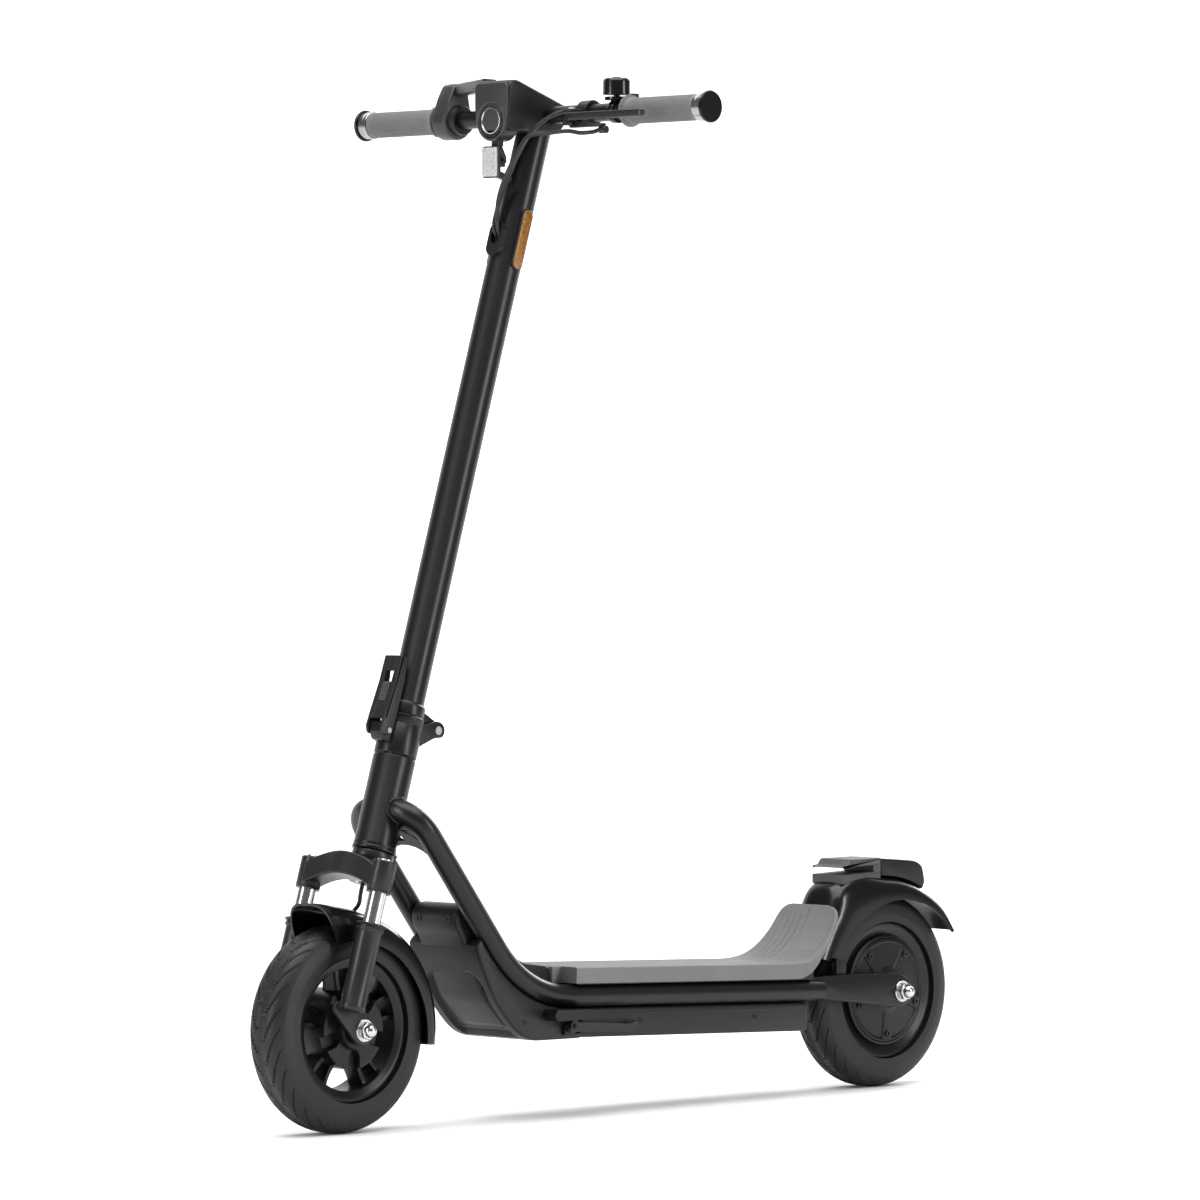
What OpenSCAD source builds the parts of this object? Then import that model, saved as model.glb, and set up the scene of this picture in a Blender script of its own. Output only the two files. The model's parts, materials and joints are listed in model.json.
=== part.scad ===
// Folding electric kick scooter with a sprung fork, a hub motor and a drum brake.
// +X points forwards, +Y to the rider's left and +Z up.
// The origin lies on the ground, halfway between the axles.

/* [Overall] */
// Distance between the wheel axles
wheelbase = 940; // [900:5:1000]
// Height of the handlebar's axis above the ground
bar_h = 1228; // [1150:2:1260]
// Width of the handlebar across its end caps
bar_w = 607; // [580:1:660]
// Lean of the steering axis from vertical, in degrees
rake = 17.15; // [16.5:0.05:17.8]
// How far ahead of the front axle the steering axis meets the ground
trail = 43; // [40:1:46]

/* [Wheels] */
// Outside diameter of both tyres
tyre_d = 250; // [244:2:256]
// Width of both tyres
tyre_w = 62; // [56:1:63]
// Outside diameter of the rim's lips
rim_d = 176; // [168:1:180]
// Width of the rim across its lips
rim_w = 52; // [46:1:54]
// Diameter of the front axle
axle_d = 12; // [10:1:14]

/* [Fork] */
// Distance between the two fork legs, centre to centre
leg_gap = 124; // [118:1:130]
// How far the fork legs stand ahead of the steering axis
leg_ahead = 35.5; // [32:0.5:40]
// Diameter of the bright inner fork tubes
stanchion_d = 22; // [20:1:25]
// Outside diameter of the dark lower fork legs
lower_d = 31; // [29:1:34]
// Height of the crown's clamps above the front axle, along the steering axis
crown_rise = 161; // [155:1:168]
// Suspension travel
fork_travel = 30; // [15:1:32]

/* [Frame] */
// Diameter of the head tube
head_d = 52; // [50:1:56]
// Length of the head tube
head_l = 117; // [105:1:125]
// Diameter of the two frame rails
rail_d = 28; // [25:1:30]
// Distance between the two frame rails, centre to centre
rail_gap = 110; // [106:1:116]
// Height of the rails' centre line above the ground, halfway between the axles
deck_h = 145; // [140:1:152]
// Upward slope of the deck towards the front, in degrees
deck_tilt = 2; // [1.5:0.1:2.5]
// Width of the deck mat
mat_w = 136; // [132:1:142]
// Thickness of the wall of the deck case
case_wall = 3; // [2.5:0.1:4]

/* [Stem and handlebar] */
// Diameter of the stem tube
stem_d = 42; // [38:1:44]
// Diameter of the handlebar
bar_d = 22; // [20:1:24]
// Diameter of the rubber grips
grip_d = 32; // [30:1:35]
// Length of one rubber grip
grip_l = 120; // [100:1:120]
// Diameter of the hinge pin of the folding joint
fold_pin_d = 8; // [6:1:10]

/* [Hidden] */
$fn = 64;
// Radial play of a pin, shaft or sliding tube in its bore
run_fit = 0.05;
// Gap between faces that move past each other
side_gap = 0.4;
// Gap under a piece that rests on another
seat_gap = 0.2;

axle_z = tyre_d / 2;
front_x = wheelbase / 2;
rear_x = -wheelbase / 2;
steer_x = front_x + trail;
// Front axle, crown and head tube, measured along and ahead of the steering axis
ax_x = axle_z * sin(rake) - trail * cos(rake);
ax_z = axle_z * cos(rake) + trail * sin(rake);
crown_z = ax_z + crown_rise;
crown_h = 37;
crown_arch = crown_z + 17;
crown_top = crown_z + 44;
head_z = crown_top + 13;
head_top = head_z + head_l;
base_z = head_top + 2;
base_h = 50;
fold_z = base_z + base_h;
fold_x = -48;
pin_z = fold_z - 4;
collar_h = 15;
collar_d = stem_d + 6;
bar_ahead = 5.7;
bar_z = (bar_h - bar_ahead * sin(rake)) / cos(rake);
bar_x = steer_x + bar_ahead * cos(rake) - bar_z * sin(rake);
leg_y = leg_gap / 2;
rail_y = rail_gap / 2;
rail_r = rail_d / 2;
bearing_d = 44;
bearing_h = 10;
steerer_d = 28.6;
steerer_bore = 22;

// Frames of reference
// Along the steering axis, from the point where it meets the ground
module steer() {
  translate([steer_x, 0, 0]) rotate([0, -rake, 0]) children();
}
// Along the sloping deck, from the rails' centre line
module deck() {
  translate([0, 0, deck_h]) rotate([0, -deck_tilt, 0]) children();
}
// At the handlebar's axis, level with the ground
module at_bar() {
  translate([bar_x, 0, bar_h]) children();
}
// At a wheel's axle, with +Z turned to +Y
module at_wheel(x) {
  translate([x, 0, axle_z]) rotate([-90, 0, 0]) children();
}

// General shapes
// An outline in X and Z, carried along Y from y0 to y1
module slab(pts, y0, y1) {
  translate([0, y1, 0]) rotate([90, 0, 0]) linear_extrude(height = y1 - y0) polygon(pts);
}
// A round bar along Y
module rod(x, z, r, y0, y1) {
  translate([x, y1, z]) rotate([90, 0, 0]) cylinder(r = r, h = y1 - y0);
}
// A box from its lowest to its highest corner
module block(a, b) {
  translate(a) cube(b - a);
}
module both_sides() {
  children();
  mirror([0, 1, 0]) children();
}
// A straight round bar from point a to point b
module bar_between(a, b, r) {
  d = b - a;
  translate(a) rotate([0, acos(d[2] / norm(d)), atan2(d[1], d[0])]) cylinder(r = r, h = norm(d));
}
function unit(v) = v / norm(v);
// A point on the smooth curve between b and c
function curve(a, b, c, d, t) = (2 * b + (c - a) * t + (2 * a - 5 * b + 4 * c - d) * t * t
  + (3 * b - a - 3 * c + d) * t * t * t) / 2;
function smooth(p, k) = [
  for (i = [0 : len(p) - 2]) for (j = [0 : k - 1])
    curve(p[max(i - 1, 0)], p[i], p[i + 1], p[min(i + 2, len(p) - 1)], j / k),
  p[len(p) - 1]
];
function heading(p, i) = unit(p[min(i + 1, len(p) - 1)] - p[max(i - 1, 0)]);
// A ring of n points round point c, square to direction t
function ring(c, t, r, n, ref) = let (s = unit(cross(ref, t)), u = cross(t, s))
  [for (k = [0 : n - 1]) c + r * (cos(360 * k / n) * s + sin(360 * k / n) * u)];
// A closed skin over rings that have the same number of points
// The ends of a strip, such as a mudguard's section, are closed from its outer to its inner edge
module skin(rings, strip = false) {
  m = len(rings);
  n = len(rings[0]);
  points = [for (r = rings) for (p = r) p];
  sides = [
    for (i = [0 : m - 2]) for (j = [0 : n - 1]) for (k = [0, 1])
      let (a = i * n + j, b = i * n + (j + 1) % n)
      k == 0 ? [a, a + n, b] : [b, a + n, b + n]
  ];
  first = strip
    ? [for (j = [0 : n / 2 - 2]) for (k = [0, 1])
        k == 0 ? [j, j + 1, n - 2 - j] : [j, n - 2 - j, n - 1 - j]]
    : [[for (j = [0 : n - 1]) j]];
  last = [for (f = first) [for (j = [len(f) - 1 : -1 : 0]) (m - 1) * n + f[j]]];
  polyhedron(points = points, faces = concat(first, sides, last));
}
// A cable of radius r along a route
module cable(route, r, ref = [0, 0, 1]) {
  p = smooth(route, 4);
  skin([for (i = [0 : len(p) - 1]) ring(p[i], heading(p, i), r, 8, ref)]);
}
// One round-cornered section of a mudguard, from skirt radius rs to crown radius ro
function arch(ro, rs, w, n) = [
  for (k = [0 : n]) let (a = 180 * k / n, c = cos(a), s = sin(a))
    [sign(c) * w * pow(abs(c), 0.6), rs + (ro - rs) * pow(abs(s), 0.6)]
];
// A mudguard round the axle at x, for angles from a0 to a1
module guard(x, a0, a1, steps, ro, rs, half, wall) {
  n = 14;
  skin([
    for (i = [0 : steps])
      let (
        a = a0 + (a1 - a0) * i / steps,
        outer = arch(lookup(a, ro), lookup(a, rs), half, n),
        inner = arch(lookup(a, ro) - wall, lookup(a, rs), half - wall, n)
      )
      [
        for (q = concat(outer, [for (k = [n : -1 : 0]) inner[k]]))
          [x + q[1] * cos(a), q[0], axle_z + q[1] * sin(a)]
      ]
  ], true);
}

// Frame
// The left rail's centre line: the deck, a bend up, the slope and a bend in to the head tube
deck_len = 451;
deck_bend = 50;
deck_bend_r = 165;
slope_len = 181;
neck_bend_r = 37;
deck_dir = [cos(deck_tilt), 0, sin(deck_tilt)];
deck_up = [-sin(deck_tilt), 0, cos(deck_tilt)];
slope_dir = cos(deck_bend) * deck_dir + sin(deck_bend) * deck_up;
inward = [0, -1, 0];
rail_start = [-316, rail_y, deck_h - 316 * tan(deck_tilt)];
bend_start = rail_start + deck_len * deck_dir;
function deck_arc(a) = bend_start + deck_bend_r * (sin(a) * deck_dir + (1 - cos(a)) * deck_up);
slope_end = deck_arc(deck_bend) + slope_len * slope_dir;
function neck_arc(a) = slope_end + neck_bend_r * (sin(a) * slope_dir + (1 - cos(a)) * inward);
rail_rings = concat(
  [[rail_start, deck_dir, -inward]],
  [for (a = [0 : 5 : deck_bend]) [deck_arc(a), cos(a) * deck_dir + sin(a) * deck_up, -inward]],
  [for (a = [0 : 9 : 90])
    [neck_arc(a), cos(a) * slope_dir + sin(a) * inward, sin(a) * slope_dir - cos(a) * inward]],
  [[neck_arc(90) + 6 * inward, inward, slope_dir]]
);
module rail_left(r) {
  skin([for (q = rail_rings) ring(q[0], q[1], r, 24, q[2])]);
}
module head_tube() {
  color("#26272a") steer() translate([0, 0, head_z]) difference() {
    cylinder(d = head_d, h = head_l);
    translate([0, 0, -1]) cylinder(d = 36, h = head_l + 2);
    translate([0, 0, -1]) cylinder(d = bearing_d, h = bearing_h + 1);
    translate([0, 0, head_l - bearing_h]) cylinder(d = bearing_d, h = bearing_h + 1);
  }
}
module frame_rail_left() {
  color("#26272a") difference() {
    rail_left(rail_r);
    steer() translate([0, 0, head_z]) cylinder(d = head_d, h = head_l);
  }
}
module frame_rail_right() {
  color("#26272a") mirror([0, 1, 0]) difference() {
    rail_left(rail_r);
    steer() translate([0, 0, head_z]) cylinder(d = head_d, h = head_l);
  }
}
// Web between the rails behind the head tube, with an arched foot and three windows
web_half = rail_y - rail_r;
module frame_gusset() {
  color("#26272a") difference() {
    translate([349, 0, 333]) rotate([0, 90 - deck_tilt - deck_bend, 0]) rotate([90, 0, 90])
      translate([0, 0, -2.5]) linear_extrude(height = 5) difference() {
        polygon([
          [-web_half, -14], [-web_half, 28], [-30, 46], [30, 46], [web_half, 28], [web_half, -14],
          for (a = [0 : 20 : 180]) [34 * cos(a), -14 + 26 * sin(a)]
        ]);
        for (s = [-1, 1]) polygon([[s * 6, 36], [s * 30, 20], [s * 20, 36]]);
        polygon([[-7, 18], [7, 18], [0, 30]]);
      }
    steer() translate([0, 0, head_z - 1]) cylinder(d = head_d + 0.2, h = head_l + 2);
  }
}
arm_in = 44;
arm_out = 56;
fender_tab = [[-374, 149], [-356, 149], [-356, 173], [-374, 166]];
module rear_arms() {
  color("#26272a") both_sides() difference() {
    union() {
      slab([[-300, 151], [-351, 151], [-403, 151], [rear_x, axle_z + 22],
            [rear_x, axle_z - 20], [-403, 112], [-370, 116], [-330, 122], [-300, 124]],
           arm_in, arm_out);
      rod(rear_x, axle_z, 21, arm_in, arm_out);
      // Tab that carries the mudguard
      slab(fender_tab, fender_half + seat_gap, arm_in + 3);
    }
    rod(rear_x, axle_z, axle_d / 2, arm_in - 1, arm_out + 1);
    bar_between(rail_start, bend_start, rail_r);
  }
}

// Deck
case_half = 62;
neck_half = rail_y - rail_r - 0.6;
case_low = -51;
case_back = -288;
rail_clear = rail_r + 0.6;
// Outline of the nose, whose rear edge follows the underside of the rails
bend_centre = bend_start + deck_bend_r * deck_up;
nose_end = slope_end - (slope_len - 28) * slope_dir;
rail_under = [cos(deck_tilt + deck_bend - 90), 0, sin(deck_tilt + deck_bend - 90)];
nose_tip = nose_end + rail_clear * rail_under;
nose = [
  [110, 97], [200, 98], [220, 105], [236, 118], [252, 135], [266, 152], [282, 184], [292, 205],
  [296, 224], [nose_tip[0], nose_tip[2]],
  for (a = [deck_bend : -5 : 0]) let (h = a + deck_tilt, r = deck_bend_r + rail_clear)
    [bend_centre[0] + r * sin(h), bend_centre[2] - r * cos(h)],
  [110, 132.6]
];
// Outline of the narrow neck that rises between the rails, and of its hollow
neck = [[150, 110], [225, 112], [262, 150], [282, 190], [300, 228], [309, 240], [311, 258],
        [303, 268], [284, 269], [272, 260], [250, 232], [222, 207], [196, 193], [150, 187]];
neck_hollow = [[150, 113], [223, 115], [259, 152], [279, 191], [297, 229], [305, 241], [307, 257],
               [301, 264], [286, 265], [275, 258], [252, 229], [224, 204], [197, 190], [150, 184]];
case_roof = -rail_clear - case_wall;
// Step between the faces of the case's joined sections
shut_line = 0.3;
module deck_case() {
  color("#2b2c2f") difference() {
    union() {
      deck() block([case_back, -case_half, case_low], [131, case_half, -rail_clear]);
      deck() block([case_back + 1, -neck_half + shut_line, case_low + 10],
        [158, neck_half - shut_line, rail_r - seat_gap]);
      slab(nose, -case_half + shut_line, case_half - shut_line);
      slab(neck, -neck_half, neck_half);
    }
    deck() block([case_back + case_wall, -case_half + case_wall, case_low + case_wall],
      [200, case_half - case_wall, case_roof]);
    deck() block([case_back + 1 + case_wall, -neck_half + case_wall + shut_line, case_low + 15],
      [200, neck_half - case_wall - shut_line, rail_r]);
    slab(neck_hollow, -neck_half + case_wall, neck_half - case_wall);
    deck() both_sides() for (x = screw_x) translate([x, case_half - screw_in, screw_z])
      rotate([-90, 0, 0]) cylinder(r = 3.2, h = 5);
  }
}
screw_x = [215, 15, -190];
screw_z = -31;
screw_in = 1.8;
module case_screws() {
  color("#8d8f92") deck() both_sides() for (x = screw_x)
    translate([x, case_half - screw_in, screw_z]) rotate([-90, 0, 0]) difference() {
      cylinder(r = 3, h = 1.6);
      translate([0, 0, 0.6]) cylinder(r = 1.5, h = 2, $fn = 6);
    }
}
plate_top = rail_r + 10;
plate_back = -292;
plate_front = 130;
plate_half = mat_w / 2 - 2;
module deck_plate() {
  color("#3a3b3d") deck() {
    block([plate_back, -plate_half, rail_r + seat_gap], [plate_front, plate_half, plate_top]);
  }
}
mat_top = plate_top + 11.5;
// Outline of the mat's kick plate, which climbs towards the rear mudguard
kick = [[-255, 162], [-255, 171.6], [-276, 179], [-303, 192], [-331, 215], [-345, 236], [-354, 246],
        [-360, 243], [-352, 226], [-340, 206], [-318, 182], [-301, 162]];
module deck_mat() {
  color("#77787a") {
    difference() {
      union() {
        deck() block([-262, -mat_w / 2, rail_r + 1], [134, mat_w / 2, mat_top]);
        deck() block([130, -neck_half, rail_r], [149, neck_half, mat_top]);
      }
      deck() block([plate_back - 1, -plate_half - 0.2, 0], [plate_front + 0.2, plate_half + 0.2,
        plate_top + seat_gap]);
    }
    slab(kick, -case_half - 1, case_half + 1);
  }
}
module battery_pack() {
  color("#3c6ea5") deck() block([-140, -54, case_low + case_wall + seat_gap],
    [150, 54, case_roof - 1]);
}
module controller() {
  color("#9a9c9f") deck() {
    block([-270, -40, case_low + case_wall + seat_gap], [-160, 40, -24]);
    for (y = [-34 : 8.5 : 34]) block([-262, y - 1.5, -24], [-168, y + 1.5, -19]);
  }
}

// Rear end
fender_ro = [[14, 150], [30, 147], [38, 149], [44, 155], [47, 158], [49, 165], [51, 171], [54, 171.5],
             [62, 164], [90, 146], [123, 146], [136, 148], [149, 144]];
fender_half = 39;
fender_rs = [[14, 110], [66, 109], [82, 112], [103, 119], [125, 127], [149, 136]];
module rear_fender() {
  color("#232427") guard(rear_x, 20, 149, 24, fender_ro, fender_rs, fender_half, 3);
}
tail_half = 27;
tail = [[-385, 271], [-395, 286], [-402, 294], [-453, 295], [-528, 290], [-541, 283], [-546, 262],
        [-541, 246]];
module tail_box() {
  color("#1d1e20") difference() {
    slab(concat(tail, [[-541, 200], [-385, 200]]), -tail_half, tail_half);
    guard_core();
    hook_room();
  }
}
module guard_core() {
  slab([
    for (a = [0 : 6 : 180]) let (r = lookup(a, fender_ro) + 0.6)
      [rear_x + r * cos(a), axle_z + r * sin(a)]
  ], -60, 60);
}
module hook_room() {
  slab([[-383, 262], [-462, 262], [-462, 300], [-383, 300]], -tail_half - 1, tail_half + 1);
}
module tail_hook() {
  color("#6a6b6d") difference() {
    slab([[-388, 262], [-388, 275], [-398, 288], [-404, 296], [-461.6, 296.5], [-461.6, 262]],
         -tail_half, tail_half);
    guard_core();
    slab([[-380, 277], [-448, 279], [-448, 287], [-380, 286]], -40, 40);
  }
}
module tail_light() {
  color("#a01818") slab([[-541.9, 282.2], [-546, 281], [-549, 264], [-546.6, 262.4]], -22, 22);
}
stand_x = 143;
stand_z = 114;
module stand_bracket() {
  color("#2e2f31") {
    slab([[124, 122], [124, 134], [182, 136], [186, 128], [180, 122]], case_half + seat_gap, 84);
    block([134, case_half + seat_gap, 103], [152, 66, 123]);
    rod(stand_x, stand_z, 3, 65, 78);
  }
}
module kickstand() {
  color("#55565a") difference() {
    union() {
      rod(stand_x, stand_z, 7.6, 66.4, 76);
      slab([[stand_x, stand_z - 7], [stand_x, stand_z + 5], [96, 116], [48, 112], [35, 115.5],
            [31.5, 107], [46, 102], [90, 104]], 67, 75);
    }
    rod(stand_x, stand_z, 3 + run_fit, 60, 90);
  }
}

module headset_bearings() {
  color("silver") steer() for (z = [head_z, head_top - bearing_h]) translate([0, 0, z])
    difference() {
      cylinder(d = bearing_d, h = bearing_h);
      translate([0, 0, -1]) cylinder(r = steerer_d / 2 + run_fit, h = bearing_h + 2);
    }
}

// Fork
module fork_crown() {
  color("#4a4b4e") steer() difference() {
    union() {
      for (s = [-1, 1]) translate([leg_ahead, s * leg_y, crown_z])
        cylinder(d = stanchion_d + 8, h = crown_h);
      // Arched bridge, thick fore and aft
      translate([leg_ahead - 15, 0, 0]) rotate([90, 0, 90]) linear_extrude(height = 30)
        polygon(concat(
          [for (k = [0 : 12]) let (y = leg_y * (k / 6 - 1))
            [y, crown_z + 28 + 16 * (1 - pow(abs(y) / leg_y, 2))]],
          [for (k = [12 : -1 : 0]) let (y = leg_y * (k / 6 - 1))
            [y, crown_z + 1 + 16 * (1 - pow(abs(y) / leg_y, 2))]]));
      translate([0, 0, crown_arch]) cylinder(d = 46, h = crown_top - crown_arch);
      translate([0, -23, crown_arch]) cube([leg_ahead - 10, 46, crown_top - crown_arch]);
      translate([0, 0, crown_top]) cylinder(d1 = 46, d2 = head_d - 2, h = head_z - crown_top - side_gap);
    }
    translate([0, 0, crown_arch - 20]) cylinder(d = steerer_d, h = 80);
    for (s = [-1, 1]) translate([leg_ahead, s * leg_y, crown_z - 5])
      cylinder(d = stanchion_d, h = crown_h + 20);
  }
}
module steerer_tube() {
  color("#85878a") steer() translate([0, 0, crown_arch]) difference() {
    cylinder(d = steerer_d, h = fold_z - 18 - crown_arch);
    translate([0, 0, -1]) cylinder(d = steerer_bore, h = 300);
  }
}
lower_top = crown_z - 40;
leg_low = ax_z + 14;
stanchion_low = leg_low + 16 + fork_travel;
module stanchions() {
  color("#e3e4e6") steer() for (s = [-1, 1]) translate([leg_ahead, s * leg_y, 0]) {
    translate([0, 0, stanchion_low]) cylinder(d = stanchion_d, h = crown_z + crown_h - stanchion_low);
    translate([0, 0, crown_z + crown_h]) cylinder(d = stanchion_d - 3, h = 3);
  }
}
// Foot of the folding joint, clamped on the steerer, with two hinge ears and the latch knuckle
latch_x = 31.5;
latch_z = fold_z - 26;
tongue_half = 6;
module stem_base() {
  color("#26272a") steer() difference() {
    union() {
      translate([0, 0, base_z]) cylinder(d = head_d, h = base_h - side_gap / 2);
      for (s = [-1, 1]) slab([[fold_x, pin_z + 11], [-20, fold_z - 6], [-20, fold_z - 34],
        [fold_x + 6, pin_z - 10]], s * 10.5 - 4, s * 10.5 + 4);
      for (s = [-1, 1]) rod(fold_x, pin_z, 11, s * 10.5 - 4, s * 10.5 + 4);
      slab([[20, fold_z - 40], [34, fold_z - 38], [40, fold_z - 30], [41, fold_z - 16], [20, fold_z - 14]],
           -11, 11);
    }
    translate([0, 0, base_z - 1]) cylinder(d = steerer_d, h = fold_z - 18 - base_z + 1);
    translate([0, 0, base_z]) cylinder(d = steerer_bore, h = base_h + 10);
    rod(fold_x, pin_z, 11.6, -tongue_half - side_gap, tongue_half + side_gap);
    slab([[fold_x, pin_z], [fold_x, pin_z + 20], [-18, fold_z + 8], [-18, fold_z - 7], [-34, pin_z - 14],
      [fold_x, pin_z - 12]], -tongue_half - side_gap, tongue_half + side_gap);
    rod(fold_x, pin_z, fold_pin_d / 2, -20, 20);
    rod(latch_x, latch_z, 2.5, -20, 20);
  }
}
module fold_pin() {
  color("silver") steer() {
    rod(fold_x, pin_z, fold_pin_d / 2, -14.2, 14.2);
    rod(latch_x, latch_z, 2.5, -15.4, 15.4);
  }
}
module latch_lever() {
  color("#5a5b5e") steer() difference() {
    union() {
      for (s = [-1, 1]) {
        slab([[latch_x - 5.5, latch_z], [latch_x, latch_z - 6], [latch_x + 9, latch_z - 6],
          [latch_x + 13, latch_z + 2], [latch_x + 7, fold_z + 34], [latch_x + 6, fold_z + 66],
          [latch_x - 3, fold_z + 66], [latch_x - 7, fold_z + 40], [latch_x - 7, fold_z - 5]],
          s * 13.2 - 1.8, s * 13.2 + 1.8);
        rod(latch_x, latch_z, 6, s * 13.2 - 1.8, s * 13.2 + 1.8);
      }
      slab([[latch_x + 12, latch_z + 12], [latch_x + 7, fold_z + 34], [latch_x + 6, fold_z + 66],
        [latch_x + 1, fold_z + 67], [latch_x + 3, fold_z + 34], [latch_x + 8, latch_z + 12]], -15, 15);
    }
    rod(latch_x, latch_z, 2.5 + run_fit, -20, 20);
    block([latch_x + 1.5, -6.5, fold_z + 8], [latch_x + 30, 6.5, fold_z + 47]);
  }
}
// Thumb catch that slides up the lever's slot, with a flange behind it
module latch_slider() {
  color("#8a8b8e") steer() {
    slab([[latch_x, fold_z + 8.4], [latch_x + 10.3, fold_z + 8.4], [latch_x + 7.9, fold_z + 33],
      [latch_x, fold_z + 33]], -6.1, 6.1);
    block([latch_x - 3, -9, fold_z + 8.4], [latch_x + 1, 9, fold_z + 33]);
  }
}

module lower_leg() {
  steer() difference() {
    union() {
      translate([leg_ahead, leg_y, leg_low]) cylinder(d = lower_d, h = lower_top - leg_low);
      translate([leg_ahead, leg_y, lower_top - 9]) cylinder(d = lower_d + 7, h = 9);
      // Dropout plate
      slab([[leg_ahead - 15, leg_low + 8], [leg_ahead + 15, leg_low + 8], [leg_ahead + 15, leg_low - 4],
        [ax_x + 14, ax_z - 13], [ax_x, ax_z - 18], [ax_x - 17, ax_z], [ax_x - 12, ax_z + 13]],
        dropout_in, dropout_in + 6);
      rod(ax_x, ax_z, 18, dropout_in, dropout_in + 6);
      translate([leg_ahead - 12, dropout_in, leg_low]) cube([24, leg_y - dropout_in, 10]);
      // Stud that carries the mudguard
      rod(leg_ahead, lower_top - 17, 4.5, front_half + seat_gap, leg_y);
    }
    translate([leg_ahead, leg_y, leg_low + 10]) cylinder(d = stanchion_d + 2 * run_fit, h = 200);
    rod(ax_x, ax_z, axle_d / 2, dropout_in - 1, dropout_in + 20);
  }
}
dropout_in = 42;
module fork_leg_left() {
  color("#2b2c2f") lower_leg();
}
module fork_leg_right() {
  color("#2b2c2f") mirror([0, 1, 0]) lower_leg();
}
module nut(y) {
  translate([0, y, 0]) rotate([-90, 0, 0]) cylinder(r = 11, h = 7, $fn = 6);
}
module front_axle() {
  color("silver") steer() translate([ax_x, 0, ax_z]) both_sides() {
    rod(0, 0, axle_d / 2, 0, dropout_in + 14);
    difference() {
      nut(dropout_in + 6);
      rod(0, 0, axle_d / 2, 0, 80);
    }
  }
}
front_half = 38;
front_ro = [[72, 160], [84, 148], [100, 140], [120, 138], [192, 138]];
front_rs = [[72, 108], [100, 104], [150, 108], [192, 116]];
module front_fender() {
  color("#232427") guard(front_x, 72, 191, 24, front_ro, front_rs, front_half, 2.5);
}
plate_y = -41.6;
module brake_plate() {
  color("#8e9093") steer() translate([ax_x, 0, ax_z]) difference() {
    union() {
      rod(0, 0, 44, plate_y, plate_y + 4);
      rod(0, 0, 14, plate_y + 4, plate_y + 9);
      for (s = [0, 180]) rotate([0, s, 0]) translate([0, plate_y + 4, 0]) rotate([-90, 0, 0])
        linear_extrude(height = 16) intersection() {
          difference() {
            circle(r = 38);
            circle(r = 32);
          }
          polygon([[0, 0], [60, -36], [60, 36]]);
        }
      rod(cam_x, cam_z, 5, plate_y, plate_y + 8);
      rod(cam_x, cam_z, 2.5, plate_y - 5.4, plate_y + 1);
    }
    rod(0, 0, axle_d / 2, plate_y - 1, plate_y + 30);
  }
}
// Brake arm on the cam behind the axle
cam_x = -27;
cam_z = 20;
module brake_arm() {
  color("#4a4b4e") steer() translate([ax_x, 0, ax_z]) difference() {
    union() {
      rod(cam_x, cam_z, 5.4, plate_y - 4.6, plate_y - side_gap);
      slab([[cam_x - 5, cam_z + 1], [cam_x + 3, cam_z + 27], [cam_x + 10, cam_z + 26],
        [cam_x + 5, cam_z - 2]], plate_y - 4.6, plate_y - side_gap);
    }
    rod(cam_x, cam_z, 2.5 + run_fit, plate_y - 10, plate_y + 10);
  }
}
// Cable from inside the steerer down to the brake arm
lower_route = [[6, 0, 420], [6, 0, 380], [6, 0, 340], [6, 0, 300], [5, 0, 284], [0, -12, 276],
               [-8, -34, 267], [-16, -46, 246], [-22, -47, 215], [-24, -44, 182]];
module brake_cable() {
  color("#151516") steer() cable(lower_route, 2.5, [1, 0, 0]);
}

// Wheels
bead_r = rim_d / 2 - 4;
function tyre_section(half, ro, ri, n) = [
  for (k = [0 : n]) let (a = 180 * k / n, c = cos(a), s = sin(a))
    [ri + (ro - ri) * pow(abs(s), 0.75), -sign(c) * half * pow(abs(c), 0.62)]
];
module tyre() {
  difference() {
    rotate_extrude($fn = 96) union() {
      polygon(tyre_section(tyre_w / 2, tyre_d / 2, rim_d / 2 + 0.2, 20));
      translate([bead_r, -rim_w / 2 + 3]) square([6, rim_w - 6]);
    }
    rotate_extrude($fn = 96) translate([rim_d / 2 + 14, 0]) circle(r = 15);
  }
}
module rim_ring(in_r) {
  rotate_extrude($fn = 96) polygon([
    [in_r, -rim_w / 2 + 4], [rim_d / 2 - 6, -rim_w / 2], [rim_d / 2, -rim_w / 2],
    [rim_d / 2, -rim_w / 2 + 3], [bead_r, -rim_w / 2 + 3], [bead_r, rim_w / 2 - 3],
    [rim_d / 2, rim_w / 2 - 3], [rim_d / 2, rim_w / 2], [rim_d / 2 - 6, rim_w / 2],
    [in_r, rim_w / 2 - 4]
  ]);
}
hub_r = 48;
front_bearing_d = 32;
module front_rim() {
  color("#232427") at_wheel(front_x) difference() {
    union() {
      rim_ring(74);
      translate([0, 0, -36]) cylinder(r = hub_r, h = 66);
      translate([0, 0, 30]) cylinder(r = 24, h = 8);
      for (k = [0 : 4]) rotate([0, 0, 72 * k + 18]) for (s = [-1, 1])
        translate([0, s * 9, -15]) rotate([0, 0, s * 7]) translate([38, -4.5, 0]) cube([40, 9, 30]);
    }
    translate([0, 0, -40]) cylinder(r = 40, h = 40 - 14);
    translate([0, 0, -50]) cylinder(d = axle_d + 8, h = 100);
    for (z = [-14.1, 38 - bearing_w])
      translate([0, 0, z]) cylinder(d = front_bearing_d, h = bearing_w + 0.1);
  }
}
bearing_w = 10;
module front_bearings() {
  color("silver") at_wheel(front_x) for (z = [-14, 38 - bearing_w]) translate([0, 0, z]) difference() {
    cylinder(d = front_bearing_d, h = bearing_w);
    translate([0, 0, -1]) cylinder(r = axle_d / 2 + run_fit, h = bearing_w + 2);
  }
}
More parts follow.
